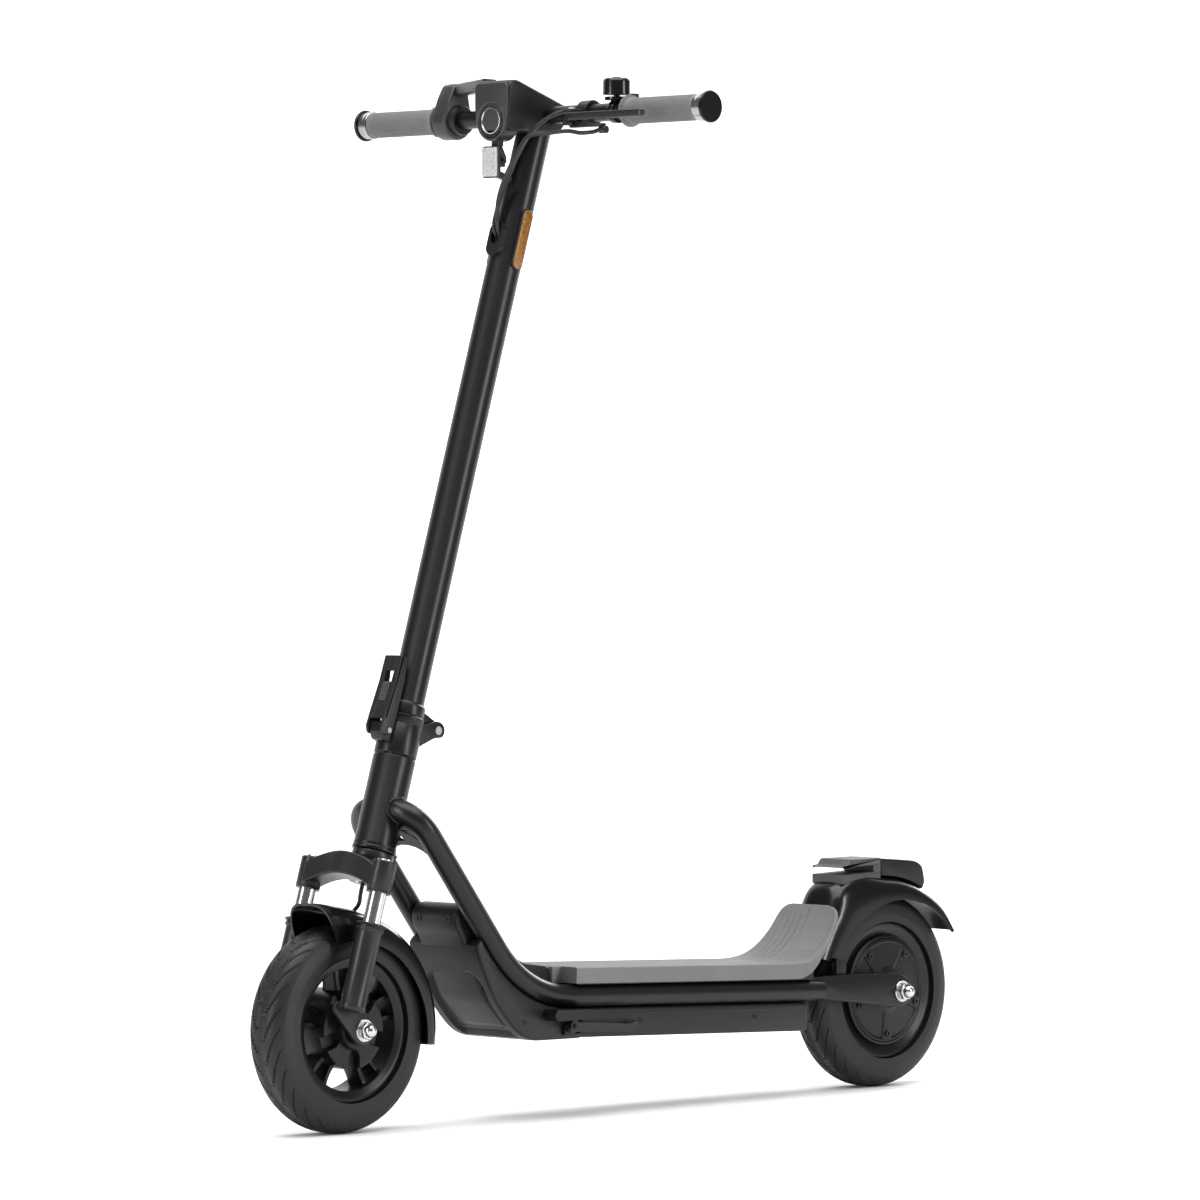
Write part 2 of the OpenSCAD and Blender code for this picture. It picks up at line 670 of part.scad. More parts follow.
module front_tyre() {
  color("#1e1e1f") at_wheel(front_x) tyre();
}
module rear_tyre() {
  color("#1e1e1f") at_wheel(rear_x) tyre();
}
motor_r = 72;
motor_half = 22;
module motor_shell() {
  color("#232427") at_wheel(rear_x) difference() {
    union() {
      rim_ring(motor_r);
      rotate_extrude($fn = 96) polygon([[motor_r - 6, -motor_half], [motor_r + 4, -motor_half],
        [motor_r + 4, motor_half], [motor_r - 6, motor_half]]);
    }
    translate([0, 0, -60]) cylinder(r = motor_r - 5, h = 120, $fn = 96);
  }
}
rear_bearing_d = 32;
module motor_covers() {
  color("#232427") at_wheel(rear_x) for (s = [0, 180]) rotate([s, 0, 0]) difference() {
    union() {
      rotate_extrude($fn = 96) polygon([[0, motor_half + 0.1], [motor_r - 1, motor_half + 0.1],
        [motor_r - 1, motor_half + 3], [motor_r - 6, motor_half + 5], [30, motor_half + 8],
        [26, motor_half + 12], [0, motor_half + 12]]);
      for (k = [0 : 4]) rotate([0, 0, 72 * k + 90]) translate([57, 0, motor_half + 4])
        cylinder(r = 4, h = 3.4);
    }
    translate([0, 0, motor_half - 2]) cylinder(d = rear_bearing_d, h = bearing_w + 2);
    translate([0, 0, 0]) cylinder(d = axle_d + 4, h = 60);
  }
}
module rear_bearings() {
  color("silver") at_wheel(rear_x) for (s = [0, 180]) rotate([s, 0, 0]) translate([0, 0, motor_half])
    difference() {
      cylinder(d = rear_bearing_d, h = bearing_w);
      translate([0, 0, -1]) cylinder(r = axle_d / 2 + run_fit, h = bearing_w + 2);
    }
}
module motor_magnets() {
  color("#8f9193") at_wheel(rear_x) for (k = [0 : 14]) rotate([0, 0, 24 * k])
    rotate_extrude(angle = 20, $fn = 96) translate([motor_r - 8.5, -14]) square([3, 28]);
}
tooth = [[39, -3], [56, -3], [56, -8], [61, -7.6], [61, 7.6], [56, 8], [56, 3], [39, 3]];
teeth = 18;
module motor_stator() {
  color("#b87333") at_wheel(rear_x) difference() {
    translate([0, 0, -11]) linear_extrude(height = 22) polygon([
      for (k = [0 : teeth - 1]) let (a = 360 * k / teeth)
        for (q = tooth) [q[0] * cos(a) - q[1] * sin(a), q[0] * sin(a) + q[1] * cos(a)]
    ]);
    cylinder(d = axle_d, h = 60, center = true);
  }
}
module rear_axle() {
  color("silver") translate([rear_x, 0, axle_z]) both_sides() {
    rod(0, 0, axle_d / 2, 0, 75);
    difference() {
      nut(arm_out);
      rod(0, 0, axle_d / 2, 0, 90);
    }
  }
}

// Stem
module stem_tube() {
  color("#26272a") steer() difference() {
    union() {
      translate([0, 0, fold_z + side_gap / 2]) cylinder(d = stem_d, h = bar_z - 14 - fold_z);
      translate([0, 0, fold_z + side_gap / 2]) cylinder(d = collar_d, h = collar_h);
      rod(bar_ahead, bar_z, bar_d / 2 + 4, -30, 30);
      slab([[fold_x, pin_z + 10], [-20, fold_z + 14], [-20, fold_z + side_gap / 2],
        [-32, fold_z + side_gap / 2], [fold_x, pin_z - 6]], -tongue_half, tongue_half);
      rod(fold_x, pin_z, 10, -tongue_half, tongue_half);
      // Lug that the latch holds
      block([20, -5, fold_z + 2], [27.5, 5, fold_z + 12]);
    }
    translate([0, 0, fold_z - 1]) cylinder(d = stem_d - 6, h = bar_z - 30 - fold_z);
    rod(bar_ahead, bar_z, bar_d / 2 + 0.05, -40, 40);
    rod(fold_x, pin_z, fold_pin_d / 2 + run_fit, -20, 20);
    // Way in for the cables
    for (z = [0, 7]) translate([0, 0, port_z + z]) rotate([0, 90, 0]) cylinder(r = 8, h = 40);
  }
}
port_z = bar_z - 164;
module cable_port() {
  color("#1d1e20") steer() difference() {
    union() {
      translate([0, 0, port_z - 10]) rotate([0, 90, 0]) cylinder(r = 12, h = 25);
      translate([0, 0, port_z + 10]) rotate([0, 90, 0]) cylinder(r = 12, h = 25);
      translate([0, -12, port_z - 10]) cube([25, 24, 20]);
    }
    translate([0, 0, port_z - 40]) cylinder(d = stem_d + 0.2, h = 80);
    for (z = [0, 12]) translate([0, 0, port_z + z]) rotate([0, 90, 0]) cylinder(r = 7, h = 40);
    translate([0, -7, port_z]) cube([40, 14, 12]);
  }
}
module handlebar() {
  color("#232427") at_bar() difference() {
    rod(0, 0, bar_d / 2, -bar_w / 2 + 3, bar_w / 2 - 3);
    rod(0, 0, bar_d / 2 - 2, -bar_w, bar_w);
  }
}
ring_l = 14;
cap_l = 4;
grip_end = bar_w / 2 - cap_l - ring_l - 2 * seat_gap;
module grip() {
  difference() {
    union() {
      rod(0, 0, grip_d / 2, grip_end - grip_l, grip_end);
      rod(0, 0, grip_d / 2 + 3.5, grip_end - grip_l, grip_end - grip_l + 5);
      rod(0, 0, grip_d / 2 + 3.5, bar_w / 2 - cap_l, bar_w / 2);
    }
    rod(0, 0, bar_d / 2, 0, bar_w / 2 - 3);
  }
}
module grip_left() {
  color("#8b8c8e") at_bar() grip();
}
module grip_right() {
  color("#8b8c8e") at_bar() mirror([0, 1, 0]) grip();
}
module grip_rings() {
  color("silver") at_bar() both_sides() difference() {
    rod(0, 0, grip_d / 2 + 1, grip_end + seat_gap, grip_end + seat_gap + ring_l);
    rod(0, 0, bar_d / 2, 0, bar_w);
  }
}
// Display head round the middle of the bar, and the barrel of its headlight
pod_half = 31;
pod = [[-29, 12], [57, 42], [68, 39], [72, 32], [72.5, -16], [40, -20], [12, -22], [-14, -22], [-24, -12]];
pod_in = [[-26, 11], [57, 39.5], [67, 37], [69.5, 31], [70, -13.5], [40, -17.5], [12, -19.5],
          [-13, -19.5], [-21.5, -10.5]];
lamp_z = -8;
module at_lamp() {
  at_bar() translate([72.5, 0, lamp_z]) rotate([0, 90, 0]) children();
}
module pod_housing() {
  color("#3a3b3e") difference() {
    union() {
      at_bar() slab(pod, -pod_half, pod_half);
      at_lamp() translate([0, 0, -22]) cylinder(r = 25, h = 22);
    }
    at_bar() slab(pod_in, -pod_half + 2.5, pod_half - 2.5);
    at_bar() rod(0, 0, bar_d / 2 + 4 + seat_gap, -50, 50);
    steer() translate([0, 0, bar_z - 120]) cylinder(d = stem_d + 0.4, h = 107);
    at_lamp() translate([0, 0, -19]) cylinder(r = 17, h = 30);
  }
}
module display_glass() {
  color("#101114") at_bar() translate([-29, 0, 12]) rotate([0, -atan2(30, 86), 0])
    block([6, -25, seat_gap / 2], [84, 25, 1.2]);
}
module headlight() {
  color("#c9ccd0") at_lamp() {
    difference() {
      translate([0, 0, -18]) cylinder(r = 16.8, h = 22);
      translate([0, 0, -15]) cylinder(r = 14.5, h = 30);
    }
    translate([0, 0, -2]) cylinder(r = 14.3, h = 4);
    difference() {
      translate([0, 0, seat_gap / 2]) cylinder(r = 20.5, h = 4);
      translate([0, 0, -5]) cylinder(r = 16.8, h = 20);
    }
  }
}
module front_reflector() {
  color("#dfe3e6") {
    at_bar() block([70, -14.5, -78], [77, 14.5, -39]);
    steer() block([stem_d / 2 + 0.1, -4, bar_z - 92], [49, 4, bar_z - 84]);
  }
}
module side_reflectors() {
  color("#d8731f") steer() both_sides() difference() {
    union() {
      translate([-9, 0, port_z - 24]) cube([18, stem_d / 2 + 3, 60]);
      translate([0, 0, port_z + 36]) rotate([-90, 0, 0]) cylinder(r = 9, h = stem_d / 2 + 3);
      translate([0, 0, port_z - 24]) rotate([-90, 0, 0]) cylinder(r = 9, h = stem_d / 2 + 3);
    }
    translate([0, 0, port_z - 40]) cylinder(d = stem_d + 0.2, h = 100);
  }
}
throttle_y = -157;
throttle_in = throttle_y + 24;
module throttle_housing() {
  color("#4a4b4e") at_bar() difference() {
    union() {
      rod(0, 0, 24, throttle_y, throttle_in);
      slab([[23.6, 4], [14, 28], [4, 44], [-1, 46], [-9, 46], [-15, 42], [-23.6, 4]],
           throttle_y, throttle_in);
      // Arm to the display head
      translate([0, 0, 31]) linear_extrude(height = 14.5)
        polygon([[-13, throttle_in - 2], [4, throttle_in - 2], [57, -pod_half - seat_gap],
          [33, -pod_half - seat_gap]]);
    }
    rod(0, 0, bar_d / 2, -250, 250);
    // Recess round the thumb lever's hub
    rod(0, 0, 19, throttle_in - 10, throttle_in + 1);
  }
}
module throttle_lever() {
  color("#2b2c2f") at_bar() difference() {
    union() {
      rod(0, 0, 18, throttle_in - 9.6, throttle_in + 10);
      slab([[-10, -8], [-14, 6], [-38, 10], [-48, 2], [-44, -3], [-34, 2]], throttle_in + 0.6,
        throttle_in + 10);
    }
    rod(0, 0, bar_d / 2 + run_fit, -250, 250);
  }
}
lever_x = 30;
lever_y = 96;
module brake_clamp() {
  color("#2b2c2f") at_bar() difference() {
    union() {
      rod(0, 0, bar_d / 2 + 5, 88, 105);
      block([8, 88, -16], [38, 104, -11]);
      block([8, 88, -1], [38, 104, 4]);
      block([8, 88, -12], [20, 104, 0]);
      // Arm and barrel that hold the end of the brake cable
      block([24, 96, -19], [34, 150, -15]);
      rod(29, -23, 4.5, 144, 156);
    }
    rod(0, 0, bar_d / 2, 60, 140);
    translate([lever_x, lever_y, -30]) cylinder(r = 2.5, h = 60);
  }
  color("silver") at_bar() translate([lever_x, lever_y, -16.5]) cylinder(r = 2.5, h = 21);
}
module brake_lever() {
  color("#46474a") at_bar() difference() {
    union() {
      translate([lever_x, lever_y, -10.6]) cylinder(r = 7.5, h = 9.2);
      translate([0, 0, -10.6]) linear_extrude(height = 9.2) polygon([[24, 98], [36, 90], [50, 110],
        [49.5, 180], [50, 233], [47, 236], [43, 234], [43, 114]]);
    }
    translate([lever_x, lever_y, -30]) cylinder(r = 2.5 + run_fit, h = 60);
  }
}
bell_y = 144;
bell_pin = -24;
module bell() {
  color("#1d1e20") at_bar() {
    difference() {
      union() {
        rod(0, 0, bar_d / 2 + 3, bell_y - 5, bell_y + 5);
        translate([-6, bell_y - 5, 8]) cube([12, 10, 9]);
        translate([0, bell_y, 14]) cylinder(r = 15, h = 4);
        translate([bell_pin - 4, bell_y - 4, 14]) cube([20, 8, 3]);
      }
      rod(0, 0, bar_d / 2, 100, 160);
    }
    translate([0, bell_y, 17]) cylinder(r = 4, h = 6);
    translate([0, bell_y, 20]) cylinder(r = 17, h = 22);
    translate([bell_pin, bell_y, 16]) cylinder(r = 1.5, h = 8);
  }
}
module bell_lever() {
  color("#26272a") at_bar() translate([bell_pin, bell_y, 17 + side_gap]) difference() {
    union() {
      cylinder(r = 4, h = 6);
      translate([-12, -3, 0]) cube([10, 6, 6]);
    }
    translate([0, 0, -1]) cylinder(r = 1.5 + run_fit, h = 10);
  }
}
// Control cables from the bar to the port: the display's and the brake's
wire_route = [[164, 85.5, 1230], [169, 76, 1229], [174, 66, 1225], [179, 54, 1218], [184, 44, 1209],
              [190, 38, 1197], [196, 34.5, 1184], [200, 29, 1171], [200, 20, 1156], [200, 10, 1140],
              [200, 1, 1122], [202, -3, 1106], [204.6, -3.2, 1095], [203.3, -3.2, 1085],
              [198, -3.2, 1078], [192, -3.2, 1073]];
brake_route = [[169, 142.2, 1205], [172, 137, 1203], [176, 130, 1202], [178, 118, 1202], [180, 103, 1204.5],
               [182, 88, 1204.5], [185, 69, 1203], [189, 55, 1202.5], [195, 44.5, 1199],
               [201, 38.5, 1187], [205.5, 33, 1173], [206, 22, 1157], [206, 12, 1140],
               [206.5, 6, 1123], [206, 3.6, 1106], [205.5, 3.2, 1095], [203.3, 3.2, 1085],
               [198, 3.2, 1078], [192, 3.2, 1073]];
module bar_cables() {
  color("#151516") {
    cable(wire_route, 2.6);
    cable(brake_route, 2.6);
  }
}

head_tube();
frame_gusset();
frame_rail_left();
frame_rail_right();
rear_arms();
deck_case();
deck_plate();
deck_mat();
battery_pack();
controller();
rear_fender();
tail_box();
tail_hook();
tail_light();
stand_bracket();
case_screws();
headset_bearings();
rear_axle();
motor_stator();
fork_crown();
steerer_tube();
stanchions();
stem_base();
fold_pin();
fork_leg_left();
fork_leg_right();
front_axle();
front_fender();
brake_plate();
brake_cable();
brake_arm();
front_rim();
front_tyre();
front_bearings();
motor_shell();
motor_covers();
motor_magnets();
rear_tyre();
rear_bearings();
stem_tube();
handlebar();
grip_left();
grip_right();
grip_rings();
pod_housing();
display_glass();
headlight();
front_reflector();
side_reflectors();
cable_port();
throttle_housing();
brake_clamp();
bar_cables();
bell();
latch_lever();
latch_slider();
brake_lever();
throttle_lever();
bell_lever();
kickstand();
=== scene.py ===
import json
import math
import bmesh
import bpy
import numpy as np
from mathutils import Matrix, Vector


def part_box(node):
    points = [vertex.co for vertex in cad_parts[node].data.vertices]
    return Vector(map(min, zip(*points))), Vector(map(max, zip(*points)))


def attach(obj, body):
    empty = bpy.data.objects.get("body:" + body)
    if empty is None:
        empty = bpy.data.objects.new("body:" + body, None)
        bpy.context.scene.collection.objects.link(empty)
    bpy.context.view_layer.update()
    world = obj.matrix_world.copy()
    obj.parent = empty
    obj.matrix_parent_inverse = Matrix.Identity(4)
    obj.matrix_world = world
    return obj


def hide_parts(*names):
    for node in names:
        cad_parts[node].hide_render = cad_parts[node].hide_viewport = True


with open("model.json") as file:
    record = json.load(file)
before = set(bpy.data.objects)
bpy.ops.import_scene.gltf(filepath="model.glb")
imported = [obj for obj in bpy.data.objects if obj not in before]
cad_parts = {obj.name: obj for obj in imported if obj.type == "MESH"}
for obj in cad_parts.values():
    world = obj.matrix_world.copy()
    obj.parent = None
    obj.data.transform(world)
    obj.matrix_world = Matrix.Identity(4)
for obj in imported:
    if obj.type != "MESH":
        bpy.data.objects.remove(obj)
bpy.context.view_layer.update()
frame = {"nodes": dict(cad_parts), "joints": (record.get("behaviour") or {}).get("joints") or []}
print("frame loaded")

view = {"place": (6.0345, 5.9988, 0.7528), "back": (0.7077, 0.7064, 0.0141), "lens": 205.265}


def addObject(name, data):
    made = bpy.data.objects.new(name, data)
    bpy.context.scene.collection.objects.link(made)
    return made


def makeCamera():
    data = bpy.data.cameras.new("camera")
    data.lens = view["lens"]
    data.sensor_width = 36
    data.clip_end = 50
    camera = addObject("camera", data)
    camera.location = view["place"]
    camera.rotation_euler = (-Vector(view["back"])).to_track_quat("-Z", "Y").to_euler()
    bpy.context.scene.camera = camera


makeCamera()

mm = 0.001
front = np.array([1.0, 0.0, 0.0])
left = np.array([0.0, 1.0, 0.0])
upward = np.array([0.0, 0.0, 1.0])
steering = next(j for j in frame["joints"] if j["name"] == "steering")
steerUp = np.array(steering["axis"], float)
steerUp /= np.linalg.norm(steerUp)
steerAhead = np.cross(left, steerUp)
steerFoot = np.array(steering["pos_m"]) - steerUp * steering["pos_m"][2] / steerUp[2]
spin = {j["child"]: np.array(j["pos_m"]) for j in frame["joints"] if j.get("continuous")}
barLow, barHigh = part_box("handlebar")
barCentre = np.array([(barLow[0] + barHigh[0]) / 2, 0, (barLow[2] + barHigh[2]) / 2])
deck = {"height": 145.0, "tilt": math.radians(2)}
deckAhead = np.array([math.cos(deck["tilt"]), 0, math.sin(deck["tilt"])])
deckUp = np.array([-math.sin(deck["tilt"]), 0, math.cos(deck["tilt"])])


# A set of millimetre points laid out from a place along three directions, in metres
def laid(points, place, x=front, y=left, z=upward):
    p = np.asarray(points, float)
    return place + mm * (p[..., 0:1] * x + p[..., 1:2] * y + p[..., 2:3] * z)


def onGround(p):
    return laid(p, np.zeros(3))


def onSteer(p):
    return laid(p, steerFoot, steerAhead, left, steerUp)


def onBar(p):
    return laid(p, barCentre)


def onDeck(p):
    return laid(p, np.array([0, 0, deck["height"] * mm]), deckAhead, left, deckUp)


# A wheel's own axis, Z, points to the rider's left
def onWheel(body):
    return lambda p: laid(p, spin[body], front, upward, left)


# Each shell is a grid of points, and whether it closes across its rows, along its columns, and with
# flat ends
def shell(grid, closeU=False, closeV=True, ends=True):
    return {"grid": np.asarray(grid, float), "u": closeU, "v": closeV, "ends": ends}


# Each row scaled to length one
def unit(v):
    return v / np.linalg.norm(v, axis=1, keepdims=True)


# Equal steps of angle once round
def turns(n):
    return np.linspace(0, 2 * np.pi, n, endpoint=False)


# Points at an angle, a radius and a height: r cos a, r sin a, z
def spun(a, r, z):
    return np.stack([r * np.cos(a), r * np.sin(a), z + 0 * r * a], -1)


# The same shell with its three axes in another order
def reordered(s, order):
    return dict(s, grid=s["grid"][..., order])


# A profile of (radius, along) turned once round Z, or round Y or X below
def revolve(profile, n=96, closed=False):
    profile = np.asarray(profile, float)
    return shell(spun(turns(n)[:, None], profile[:, 0], profile[:, 1]), True, closed, False)


def revolveY(profile, n=96, closed=False):
    return reordered(revolve(profile, n, closed), [0, 2, 1])


def revolveX(profile, n=96, closed=False):
    return reordered(revolve(profile, n, closed), [2, 1, 0])


def moved(s, offset, turn=0.0):
    c, d = math.cos(turn), math.sin(turn)
    g = s["grid"]
    x, y = g[..., 0] * c - g[..., 1] * d, g[..., 0] * d + g[..., 1] * c
    return dict(s, grid=np.stack([x, y, g[..., 2]], -1) + np.asarray(offset, float))


def mirrored(s):
    return dict(s, grid=s["grid"] * [1, -1, 1])


def bothSides(shells):
    return list(shells) + [mirrored(s) for s in shells]


# A closed outline whose corners are cut back by a distance and joined by a parabola
def rounded(points, cut, steps=5):
    p = np.asarray(points, float)
    before, after = np.roll(p, 1, 0) - p, np.roll(p, -1, 0) - p
    lb = np.linalg.norm(before, axis=1, keepdims=True)
    la = np.linalg.norm(after, axis=1, keepdims=True)
    size = np.broadcast_to(np.asarray(cut, float), len(p))[:, None]
    size = np.minimum(size, 0.48 * np.minimum(lb, la))
    start, end = p + before / lb * size, p + after / la * size
    t = np.linspace(0, 1, steps + 1)[None, :, None]
    curve = (1 - t) ** 2 * start[:, None] + 2 * t * (1 - t) * p[:, None] + t**2 * end[:, None]
    return curve.reshape(-1, 2)


# An outline moved inwards by a distance, along the mean of each point's two edge normals
def inset(outline, distance):
    d = np.roll(outline, -1, 0) - outline
    d /= np.linalg.norm(d, axis=1, keepdims=True) + 1e-12
    area = np.sum(outline[:, 0] * np.roll(outline[:, 1], -1) - outline[:, 1] * np.roll(outline[:, 0], -1))
    normal = np.stack([-d[:, 1], d[:, 0]], 1) * np.sign(area)
    mean = normal + np.roll(normal, 1, 0)
    mean /= np.maximum(np.sum(mean * normal, 1, keepdims=True), 0.5)
    return outline + distance * mean


# An outline in X and Z carried along Y from y0 to y1, with a quarter-round edge at both ends
def plate(outline, y0, y1, edge=1.0, steps=4):
    outline = np.asarray(outline, float)
    a = np.linspace(0, np.pi / 2, steps)
    rise, draw = edge * (1 - np.cos(a)), edge * (1 - np.sin(a))
    rows = [(y0 + r, i) for r, i in zip(rise, draw)] + [(y1 - r, i) for r, i in zip(rise[::-1], draw[::-1])]
    grid = []
    for y, i in rows:
        ring = inset(outline, i)
        grid.append(np.stack([ring[:, 0], np.full(len(ring), y), ring[:, 1]], 1))
    return shell(grid)


# The same plate with its outline in X and Y, carried along Z
def plateZ(outline, z0, z1, edge=1.0, steps=4):
    return reordered(plate(outline, z0, z1, edge, steps), [0, 2, 1])


# The same plate with its outline in Y and Z, carried along X
def plateX(outline, x0, x1, edge=1.0, steps=4):
    return reordered(plate(outline, x0, x1, edge, steps), [1, 0, 2])


def block(low, high, edge=1.0, corner=1.5):
    outline = [[low[0], low[2]], [high[0], low[2]], [high[0], high[2]], [low[0], high[2]]]
    return plate(rounded(outline, corner), low[1], high[1], edge)


# A ring of radius r carried along a path, square to its direction
def tube(path, radius, n=24, ref=(0, 1, 0)):
    p = np.asarray(path, float)
    t = np.gradient(p, axis=0)
    t = unit(t)
    s = np.cross(np.broadcast_to(ref, t.shape), t)
    s = unit(s)
    u = np.cross(t, s)
    a = turns(n)[None, :, None]
    r = np.broadcast_to(np.asarray(radius, float), len(p))[:, None, None]
    return shell(p[:, None] + r * (np.cos(a) * s[:, None] + np.sin(a) * u[:, None]))


# A Catmull-Rom curve through the points, with k steps between each two
def smoothPath(points, k=8):
    p = np.asarray(points, float)
    q = np.vstack([2 * p[:1] - p[1:2], p, 2 * p[-1:] - p[-2:-1]])
    t = np.linspace(0, 1, k, endpoint=False)[None, :, None]
    a, b, c, d = (q[i : len(q) - 3 + i][:, None] for i in range(4))
    curve = (2 * b + (c - a) * t + (2 * a - 5 * b + 4 * c - d) * t**2 + (3 * b - a - 3 * c + d) * t**3) / 2
    return np.vstack([curve.reshape(-1, 3), p[-1:]])


def smoothStep(low, high, x):
    t = np.clip((x - low) / (high - low), 0, 1)
    return t * t * (3 - 2 * t)


# A line of points resampled at equal steps of its length
def evenly(points, n):
    p = np.asarray(points, float)
    s = np.r_[0, np.cumsum(np.linalg.norm(np.diff(p, axis=0), axis=1))]
    at = np.linspace(0, s[-1], n)
    return np.stack([np.interp(at, s, p[:, k]) for k in range(p.shape[1])], 1), at


weldDistance = 2e-7  # metres, joins the points where a surface meets its axis


# One mesh object made of shells, placed in the frame, with creases kept sharp
def makePiece(name, shells, place, body, finish, node=None, crease=38):
    verts, faces, base = [], [], 0
    for s in shells:
        g = s["grid"]
        nu, nv = g.shape[:2]
        i = np.arange(nu if s["u"] else nu - 1)[:, None]
        j = np.arange(nv if s["v"] else nv - 1)[None, :]
        i2, j2 = (i + 1) % nu, (j + 1) % nv
        quads = np.stack(np.broadcast_arrays(i * nv + j, i2 * nv + j, i2 * nv + j2, i * nv + j2), -1)
        faces += (quads.reshape(-1, 4) + base).tolist()
        if s["ends"] and not s["u"]:
            faces += [[base + k for k in range(nv)], [base + (nu - 1) * nv + k for k in range(nv)]]
        verts.append(place(g).reshape(-1, 3))
        base += nu * nv
    mesh = bpy.data.meshes.new(name)
    mesh.from_pydata(np.vstack(verts).tolist(), [], faces)
    bm = bmesh.new()
    bm.from_mesh(mesh)
    bmesh.ops.remove_doubles(bm, verts=bm.verts, dist=weldDistance)
    bmesh.ops.recalc_face_normals(bm, faces=bm.faces)
    bm.to_mesh(mesh)
    bm.free()
    mesh.shade_smooth()
    mesh.set_sharp_from_angle(angle=math.radians(crease))
    mesh.materials.append(finishes[finish])
    piece = addObject(name, mesh)
    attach(piece, body)
    if node:
        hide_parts(node)
    return piece


# A socket that can be used in arithmetic
class Field:
    def __init__(self, tree, socket):
        self.tree, self.socket = tree, socket

    def node(self, kind, settings=None, inputs=None, out=0):
        n = self.tree.nodes.new(kind)
        for key, value in (settings or {}).items():
            setattr(n, key, value)
        for key, value in (inputs or {}).items():
            if isinstance(value, Field):
                self.tree.links.new(value.socket, n.inputs[key])
            else:
                n.inputs[key].default_value = value
        return Field(self.tree, n.outputs[out])

    def math(self, operation, a, b):
        return self.node("ShaderNodeMath", {"operation": operation}, {0: a, 1: b})

    def __add__(self, other):
        return self.math("ADD", self, other)

    __radd__ = __add__

    def __mul__(self, other):
        return self.math("MULTIPLY", self, other)

    __rmul__ = __mul__

    def __sub__(self, other):
        return self.math("SUBTRACT", self, other)

    def __rsub__(self, other):
        return self.math("SUBTRACT", other, self)


def grey(v):
    return (v, v, v, 1)


# Cloudy noise at a size in millimetres, stretched along one of the axes if asked
def noise(root, size, detail=3.0, stretch=None):
    place = root
    if stretch:
        place = root.node("ShaderNodeMapping", None, {"Vector": root, "Scale": stretch})
    settings = {"Vector": place, "Scale": 1000 / size, "Detail": detail}
    return root.node("ShaderNodeTexNoise", None, settings)


# A principled finish whose colour, roughness and grain vary over the surface
def makeFinish(name, color, dark, rough, metal=0.0, coat=0.0, grain=0.4, depth=0.1, cloud=60.0,
        roughSpread=0.12, stretch=None, cells=None, specular=0.5, extra=None):
    color, dark = (v if isinstance(v, tuple) else grey(v) for v in (color, dark))
    material = bpy.data.materials.new(name)
    material.use_nodes = True
    tree = material.node_tree
    shader = tree.nodes["Principled BSDF"]
    root = Field(tree, None).node("ShaderNodeTexCoord", out=3)
    broad = noise(root, cloud, 4.0, stretch)
    fine = noise(root, grain, 2.0, stretch)
    tone = root.node("ShaderNodeMix", {"data_type": "RGBA"}, {0: broad * 0.7 + fine * 0.3, 6: color,
        7: dark}, 2)
    roughness = rough + (broad - 0.5) * roughSpread + (fine - 0.5) * roughSpread
    height = fine
    if cells:
        pattern = root.node("ShaderNodeTexVoronoi", {"feature": "F1"}, {"Vector": root,
            "Scale": 1000 / cells})
        height = pattern * 2.0
        tone = root.node("ShaderNodeMix", {"data_type": "RGBA"}, {0: pattern, 6: color, 7: dark}, 2)
    if extra:
        tone, roughness, height = extra(root, tone, roughness, height)
    bump = root.node("ShaderNodeBump", None, {"Height": height, "Strength": 1.0, "Distance": depth * mm})
    tree.links.new(tone.socket, shader.inputs["Base Color"])
    tree.links.new(roughness.socket, shader.inputs["Roughness"])
    tree.links.new(bump.socket, shader.inputs["Normal"])
    shader.inputs["Metallic"].default_value = metal
    shader.inputs["Coat Weight"].default_value = coat
    shader.inputs["Coat Roughness"].default_value = 0.08
    shader.inputs["Specular IOR Level"].default_value = specular
    return material


# A tyre's lower part, between two heights, mixed towards a lighter grey and made rougher
def lighterNearGround(root, tone, roughness, height):
    z = root.node("ShaderNodeSeparateXYZ", None, {"Vector": root}, 2)
    low = root.node("ShaderNodeMapRange", None, {"Value": z, "From Min": 0.0, "From Max": 0.06,
        "To Min": 0.35, "To Max": 0.0})
    tone = root.node("ShaderNodeMix", {"data_type": "RGBA"}, {0: low, 6: tone, 7: grey(0.03)}, 2)
    return tone, roughness + low * 0.2, height


